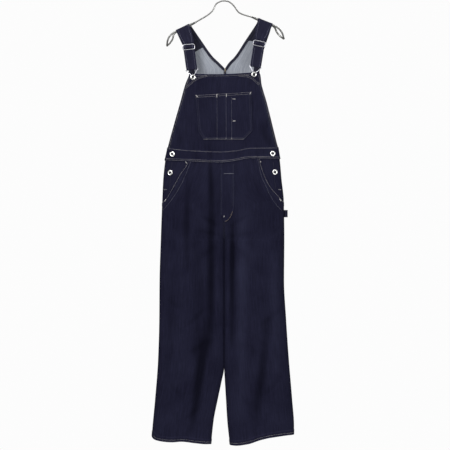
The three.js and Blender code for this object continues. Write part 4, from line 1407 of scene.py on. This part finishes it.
def strap_stations(side):
    """Centres, width directions and half widths along a strap, from its turned-up end to the back."""
    s = STRAPS[side]
    clip_tilt, slider_tilt, shoulder_tilt = s["clip_tilt"], s["slider_tilt"], s["shoulder_tilt"]
    places = strap_places(side)
    bar, slider_at, shoulder = places["bar"], places["slider"], places["shoulder"]
    turn = CLIP_HALF + BAR_GAP + STRAP_THICK / 2
    length = math.hypot(slider_at[0] - bar[0], slider_at[2] - bar[2])
    stations = []

    def put(centre, tilt, half):
        stations.append(np.concatenate([centre, tilted(tilt)[0], [half]]))

    def half_at(d):
        at_clip = mix(*CLIP_STRAP_HALF, smooth(d / 5))
        return min(at_clip, mix(*SLIDER_STRAP_HALF, smooth((d - length - 8) / 40)))

    def lower(d, behind):
        t = d / length
        depth = mix(bar[1] - turn, slider_at[1], smooth(d / 20)) + weave(d - length)
        centre = np.array([mix(bar[0], slider_at[0], t), depth + behind, mix(bar[2], slider_at[2], t)])
        put(centre, mix(clip_tilt, slider_tilt, t), half_at(d))

    for d in [length - back for back in TAIL_STEPS] + LOWER_STEPS[::-1]:
        lower(d, mix(2 * turn, TAIL_LIFT, smooth(d / 14)))
    for angle in np.linspace(0, math.pi, 9):
        swing = np.array([0, turn * math.cos(angle), 0])
        put(bar - tilted(clip_tilt)[1] * turn * math.sin(angle) + swing, clip_tilt, half_at(0))
    for d in LOWER_STEPS + [length + step for step in SLIDER_STEPS]:
        lower(d, 0)
    start = stations[-1][:3]
    over = HANGER_WIRE + WIRE_GAP + STRAP_THICK / 2
    front = shoulder + np.array([0, -LOOP_HALF_DEPTH - over, 0])
    for t in (0.25, 0.5, 0.75, 0.92):
        tilt = mix(slider_tilt, shoulder_tilt, smooth(t))
        put(mix(start, front, t), tilt, mix(STRAP_HALF, s["shoulder_half"], t))
    quarter = np.linspace(0, math.pi / 2, 7)
    for sign, angles in ((-1, quarter), (1, quarter[::-1])):
        for angle in angles:
            swing = np.array([0, sign * (LOOP_HALF_DEPTH + over * math.cos(angle)), 0])
            lift = tilted(shoulder_tilt)[1] * over * math.sin(angle)
            put(shoulder + lift + swing, shoulder_tilt, s["shoulder_half"])
    end = np.array([s["end"][0], LOOP_HALF_DEPTH + over, s["end"][1]])
    behind = shoulder + np.array([0, LOOP_HALF_DEPTH + over, 0])
    for t in (0.1, 0.4, 0.7, 1):
        put(mix(behind, end, t), mix(shoulder_tilt, slider_tilt, t), mix(s["shoulder_half"], STRAP_HALF, t))
    return np.array(stations)


def ribbon(stations, step):
    """Centres, width directions, outward normals, half widths and distances, evenly along a band."""
    steps = np.linalg.norm(np.diff(stations[:, :3], axis=0), axis=-1)
    reach = np.concatenate([[0], np.cumsum(steps)])
    keep = np.concatenate([[True], steps > 1e-6])
    path = hermite(reach[keep], stations[keep])
    along = np.linspace(0, reach[-1], int(reach[-1] / step))
    here = path(along)
    run = unit(path(along + 0.4)[:, :3] - path(along - 0.4)[:, :3])
    width = unit(here[:, 3:6])
    return here[:, :3], width, unit(np.cross(width, run)), here[:, 6], along


def band_cloth(node, stations, thick, edge_rise):
    """A folded band whose doubled edges stand a little proud and pucker along their sewing."""
    centre, width, out, half, along = ribbon(stations, 1.5)
    t = np.array([-1, -0.93, -0.84, -0.72, -0.5, -0.25, 0, 0.25, 0.5, 0.72, 0.84, 0.93, 1])[None, :]
    across = t * half[:, None]
    near_edge = smooth((np.abs(t) - 0.66) / 0.12)
    wave = PUCKER_DEPTH * np.sin(along / PUCKER_LENGTH)[:, None] * near_edge
    depth = (thick / 2 + edge_rise * near_edge + wave)[..., None]
    middle = centre[:, None] + width[:, None] * across[..., None]
    points, faces, _, near = wall(middle + out[:, None] * depth, middle - out[:, None] * depth)
    uv = np.stack([across, -along[:, None] + 0 * t], -1).reshape(-1, 2)
    edge = np.exp(-(half[:, None] - np.abs(across)) / 2.2)
    marks = {"band": (near_edge + 0 * edge).ravel(), "edge": edge.ravel(), "trough": 0 * edge.ravel()}
    return clothing(node, points, faces, near, [STRAP_FACE], None, uv, marks)


def band_stitches(line, normals):
    """Stitches along a line in space, with the normals at its points."""
    stitches = resample(line)
    away = np.linalg.norm(line[None] - stitches.mean(1)[:, None], axis=-1)
    return thread_points(stitches[:, 0], stitches[:, 1], normals[np.argmin(away, axis=1)], THREAD)


def band_rows(stations, lift, inset_by, first, last, faces=(1,)):
    """A row of stitches along both edges of a band, between two distances along it."""
    centre, width, out, half, along = ribbon(stations, 0.25)
    inside = (along >= first) & (along <= last)
    pieces = []
    for sign in (-1, 1):
        for face in faces:
            line = centre + width * (sign * (half - inset_by))[:, None] + out * (face * lift)
            pieces.append(band_stitches(line[inside], out[inside] * face))
    return pieces


def sewn_band(node, pieces, shade):
    return sewn_object(node, pieces, [shade] * sum(map(len, pieces)))


def strap(side):
    stations = strap_stations(side)
    node = "strap_" + side
    made = band_cloth(node, stations, STRAP_THICK, STRAP_EDGE_RISE)
    centre, width, out, half, along = ribbon(stations, 0.5)
    total = along[-1]
    lift = STRAP_THICK / 2 + STRAP_EDGE_RISE + THREAD_CLEAR
    pieces = band_rows(stations, lift, STRAP_ROW, 40, total - 3, faces=(1, -1))
    for distance in BACK_TACK_ROWS:
        i = np.argmin(np.abs(along - (total - distance)))
        reach = width[i] * (half[i] - BACK_TACK_INSET)
        line = centre[i] + out[i] * STRAP_THICK / 2 + np.array([-reach, reach])
        pieces.append(band_stitches(line, out[[i, i]]))
    return made, sewn_band(node, pieces, BLUE)


def hammer_loop():
    middle = (HAMMER_TOP + HAMMER_FOOT) / 2
    side_x = float(FRONT["right"](middle))
    lie = DENIM / 2 + HAMMER_LIE
    path = [
        (side_x + lie, 1.5),
        (side_x + HAMMER_REACH * 0.75, 5),
        (side_x + HAMMER_REACH - DENIM / 2, 14),
        (side_x + HAMMER_REACH * 0.55, 25),
        (side_x - 6, 31),
    ]
    for share in (0.65, 0.85, 1):
        x, y, _ = face_point(BACK, side_x - HAMMER_LENGTH * share, middle)
        path.append((x, y + lie))
    half = (HAMMER_TOP - HAMMER_FOOT) / 2
    stations = np.array([(x, y, middle, 0, 0, -1, half) for x, y in path], float)
    made = band_cloth("hammer_loop", stations, DENIM, LOOP_EDGE_RISE)
    total = ribbon(stations, 1.5)[4][-1]
    lift = DENIM / 2 + LOOP_EDGE_RISE + THREAD_CLEAR
    pieces = band_rows(stations, lift, HAMMER_ROW, 2, total - 2)
    return made, sewn_band("hammer_loop", pieces, DIM)


# Metal pieces


def tube(path, radius, closed=False):
    """Points and faces of a round wire along a path."""
    path = np.asarray(path, float)
    run = unit(np.roll(path, -1, 0) - np.roll(path, 1, 0) if closed else np.gradient(path, axis=0))
    normal = np.cross(run[0], [0.0, 1.0, 0.0])
    if np.linalg.norm(normal) < 0.2:
        normal = np.cross(run[0], [1.0, 0.0, 0.0])
    normals = []
    for direction in run:
        normal = unit(normal - direction * np.dot(normal, direction))
        normals.append(normal)
    normals = np.array(normals)
    points = path[:, None] + radius * circle(normals, np.cross(run, normals), WIRE_SIDES)
    faces = ring_quads(len(path), WIRE_SIDES, closed).tolist()
    if not closed:
        count = len(path) * WIRE_SIDES
        faces += [list(range(WIRE_SIDES))[::-1], list(range(count - WIRE_SIDES, count))]
    return points.reshape(-1, 3), faces


def lathe(profile, centre, axis):
    """Points and faces of a turned piece along an axis; the profile is radius and height."""
    axis = unit(np.asarray(axis, float))
    side = unit(np.cross(axis, [0.0, 0.0, 1.0]))
    ring = circle(side, np.cross(axis, side), TURNED_SIDES)
    rings = [centre + axis * height + ring * radius for radius, height in profile[1:-1]]
    ends = [centre + axis * height for _, height in (profile[0], profile[-1])]
    foot = len(rings) * TURNED_SIDES
    k = np.arange(TURNED_SIDES)
    after, last = np.roll(k, -1), foot - TURNED_SIDES
    faces = ring_quads(len(rings), TURNED_SIDES).tolist()
    faces += np.stack([0 * k + foot, after, k], -1).tolist()
    faces += np.stack([0 * k + foot + 1, last + k, last + after], -1).tolist()
    return np.concatenate(rings + [ends]), faces


def metal_object(name, parts, *materials):
    """One mesh of several closed parts, each of points and faces."""
    points, faces, start = [], [], 0
    for part_points, part_faces in parts:
        points.append(part_points)
        faces += [tuple(start + i for i in f) for f in outwards(part_points, part_faces)]
        start += len(part_points)
    return mesh_object(name, np.concatenate(points), faces, materials)


def through(control, count):
    """A smooth curve through control points, in about so many steps."""
    control = np.asarray(control, float)
    ends = np.concatenate([[2 * control[0] - control[1]], control, [2 * control[-1] - control[-2]]])
    per_span = max(count // (len(control) - 1), 2)
    a, b, c = weights(np.linspace(0, 1, per_span, endpoint=False)[:, None])
    found = []
    for p0, p1, p2, p3 in zip(ends, ends[1:], ends[2:], ends[3:]):
        d0, d1, d2 = (max(np.linalg.norm(q - p) ** 0.5, 1e-4) for p, q in ((p0, p1), (p1, p2), (p2, p3)))
        m1 = ((p1 - p0) / d0 - (p2 - p0) / (d0 + d1) + (p2 - p1) / d1) * d1
        m2 = ((p2 - p1) / d1 - (p3 - p1) / (d1 + d2) + (p3 - p2) / d2) * d1
        found.append(a * p1 + (1 - a) * p2 + b * m1 + c * m2)
    return np.concatenate(found + [control[-1:]])


def in_plane(points, centre, degrees):
    """Points x, up in the X Z plane, tilted and moved to a centre."""
    width, up = tilted(degrees)
    points = np.asarray(points, float)
    return centre + points[:, :1] * width + points[:, 1:] * up


def corner(x, y, radius, start, end, count=6):
    angle = np.linspace(start, end, count)
    return [(x + radius * math.cos(a), y + radius * math.sin(a)) for a in angle]


def slider(side):
    tilt = STRAPS[side]["slider_tilt"]
    centre = strap_places(side)["slider"]
    half_w, half_h = (SLIDER_WIDTH - SLIDER_BAR) / 2, (SLIDER_HEIGHT - SLIDER_BAR) / 2
    inner_w, inner_h = half_w - SLIDER_CORNER, half_h - SLIDER_CORNER
    loop = []
    for sx, sy, quarter in ((1, 1, 0), (-1, 1, 1), (-1, -1, 2), (1, -1, 3)):
        start = quarter * math.pi / 2
        loop += corner(sx * inner_w, sy * inner_h, SLIDER_CORNER, start, start + math.pi / 2, 7)
    bar = [(x, 0.0) for x in np.linspace(-half_w, half_w, 9)]
    parts = [
        tube(in_plane(loop, centre, tilt), SLIDER_WIRE, closed=True),
        tube(in_plane(bar, centre, tilt), SLIDER_MIDDLE_WIRE),
    ]
    dress(metal_object(f"slider_{side}_wire", parts, WIRE_FINISH), "slider_" + side)


def clip(side):
    c = CLIP_CORNER
    loop = corner(CLIP_BAR - c, CLIP_DROP - c, c, math.pi / 2, 0)
    loop += corner(0, 0, CLIP_RING, 0.32 * math.pi, -1.32 * math.pi, 34)
    loop += corner(-CLIP_BAR + c, CLIP_DROP - c, c, math.pi, math.pi / 2)
    path = in_plane(loop, strap_places(side)["button"], STRAPS[side]["clip_tilt"])
    made = metal_object(f"clip_{side}_wire", [tube(path, CLIP_HALF, closed=True)], WIRE_FINISH)
    dress(made, "clip_" + side)


def button_profile(shank):
    rim = corner(BUTTON - BUTTON_RIM, BUTTON_RIM, BUTTON_RIM, -math.pi / 2, 0.62 * math.pi, 11)
    face = rim + BUTTON_DISH + BUTTON_HOLE
    return [(0, 0), (BUTTON_POST, 0), (BUTTON_POST, shank)] + [(r, shank + height) for r, height in face]


def seat_button(node, centre, axis, shank):
    """A button on the cloth, its hole painted dark as the shade deep inside it."""
    parts = [lathe(button_profile(shank), centre, axis)]
    made = metal_object(node + "_metal", parts, FITTINGS_FINISH, HOLE_SHADE_FINISH)
    for polygon in made.data.polygons:
        reach = np.array(polygon.center) / MM - centre
        height = np.dot(reach, axis)
        if height > shank / 2 and np.linalg.norm(reach - height * np.asarray(axis)) < SOCKET:
            polygon.material_index = 1
    made.data.set_sharp_from_angle(angle=math.radians(50))
    dress(made, node)


def buttons():
    for side in SIDES:
        centre = strap_places(side)["seat"] - np.array([0, BUTTON_LIFT, 0])
        seat_button("bib_button_" + side, centre, (0, -1, 0), CLIP_LIFT + 2 * CLIP_HALF)
    for node, (x, z, hip) in SIDE_BUTTONS.items():
        height = LAY_GAP + DENIM + SIDE_BUTTON_GAP
        if hip:
            sink = hip_sink(hip, half_across(FRONT, hip, x, z), np.float64(z))
            height = float(-sink - FACET_SAG + HIP_BUTTON_GAP)
        here, normal = surface(FRONT, height)(np.float64(x), np.float64(z))
        seat_button(node, here + normal * SIDE_BUTTON_GAP, normal, SIDE_BUTTON_SHANK)


def half_loop(shoulder, width, turn, tip, outward, sign):
    """Points of the front or the back wire of a hanger's end, out to its tip."""
    fall = unit(tip - turn)
    aside = np.array([-outward * fall[2], 0, outward * fall[0]]) * LOOP_BOW[sign]
    points = [(shoulder + width * d, share) for d, share in LOOP_SHOULDER]
    points += [(mix(turn, tip, t) + aside * math.sin(math.pi * t), share) for t, share in LOOP_FALL]
    return [at + np.array([0, sign * LOOP_HALF_DEPTH * share, 0]) for at, share in points]


def hanger():
    arms, parts = {}, []
    for side in SIDES:
        s = STRAPS[side]
        shoulder = strap_places(side)["shoulder"]
        width = tilted(s["shoulder_tilt"])[0] * OUTWARD[side]
        tip = np.array([s["loop_tip"][0], 0.0, s["loop_tip"][1]])
        given = (shoulder, width, shoulder + width * LOOP_TURN, tip, OUTWARD[side])
        control = half_loop(*given, -1) + [tip] + half_loop(*given, 1)[::-1]
        parts.append(tube(through(control, 130), LOOP_WIRE))
        arms[side] = shoulder - width * ARM_JOINT
        parts.append(tube([arms[side] + width * d for d in np.linspace(-5, 4, 7)], WELD_WIRE))
    bow = [arms["left"]] + [np.array([x, 0.0, z]) for x, z in ARCH] + [arms["right"]]
    parts.append(tube(through(bow, 90), BOW_WIRE))
    dress(metal_object("hanger_steel", parts, HANGER_FINISH), "hanger")


def floor():
    rim = corner(0, 0, FLOOR_RADIUS, 0, 2 * math.pi, FLOOR_SIDES + 1)[:-1]
    points = [(0, 0, FLOOR_LEVEL)] + [(x, y, FLOOR_LEVEL) for x, y in rim]
    faces = [(0, 1 + k, 1 + (k + 1) % FLOOR_SIDES) for k in range(FLOOR_SIDES)]
    mesh_object("floor_disc", points, faces, [floor_finish()])


# Build the pieces

sewn = {
    "bib": bib(),
    "bib_pocket": bib_pocket(),
    "front_waistband": front_waistband(),
    "fly": fly(),
    "hammer_loop": hammer_loop(),
}
for side in SIDES:
    for maker in (front_leg, hip_piece, back_leg, back_bib, strap):
        sewn[f"{maker.__name__}_{side}"] = maker(side)
    slider(side)
    clip(side)
buttons()
hanger()
floor()

# Camera, light and world

camera = bpy.data.objects.new("camera", bpy.data.cameras.new("camera"))
bpy.context.scene.collection.objects.link(camera)
camera.location = (0, -CAMERA_DISTANCE, CAMERA_LEVEL)
camera.rotation_euler = (math.pi / 2, 0, 0)
camera.data.lens = LENS
camera.data.sensor_width = 36
camera.data.clip_end = 100
bpy.context.scene.camera = camera


def softbox(name, location, aim, size, power):
    light = bpy.data.lights.new(name, "AREA")
    light.shape = "RECTANGLE"
    light.size, light.size_y = size
    light.energy = power
    made = bpy.data.objects.new(name, light)
    bpy.context.scene.collection.objects.link(made)
    made.location = location
    x, y, z = np.array(aim, float) - np.array(location, float)
    made.rotation_euler = (math.atan2(math.hypot(x, y), -z), 0, math.atan2(y, x) - math.pi / 2)


for name, values in LIGHTS.items():
    softbox(name, *values)

world = bpy.data.worlds.new("studio")
bpy.context.scene.world = world
world.use_nodes = True
sky = world.node_tree
back = sky.nodes["Background"]
back.inputs["Color"].default_value = (0.975, 0.975, 0.975, 1)
seen = sky.nodes.new("ShaderNodeLightPath").outputs["Is Camera Ray"]
sky.links.new(remap(sky, seen, 0.0, 1.0, 0.3), back.inputs["Strength"])

bpy.context.scene.view_settings.view_transform = "Standard"
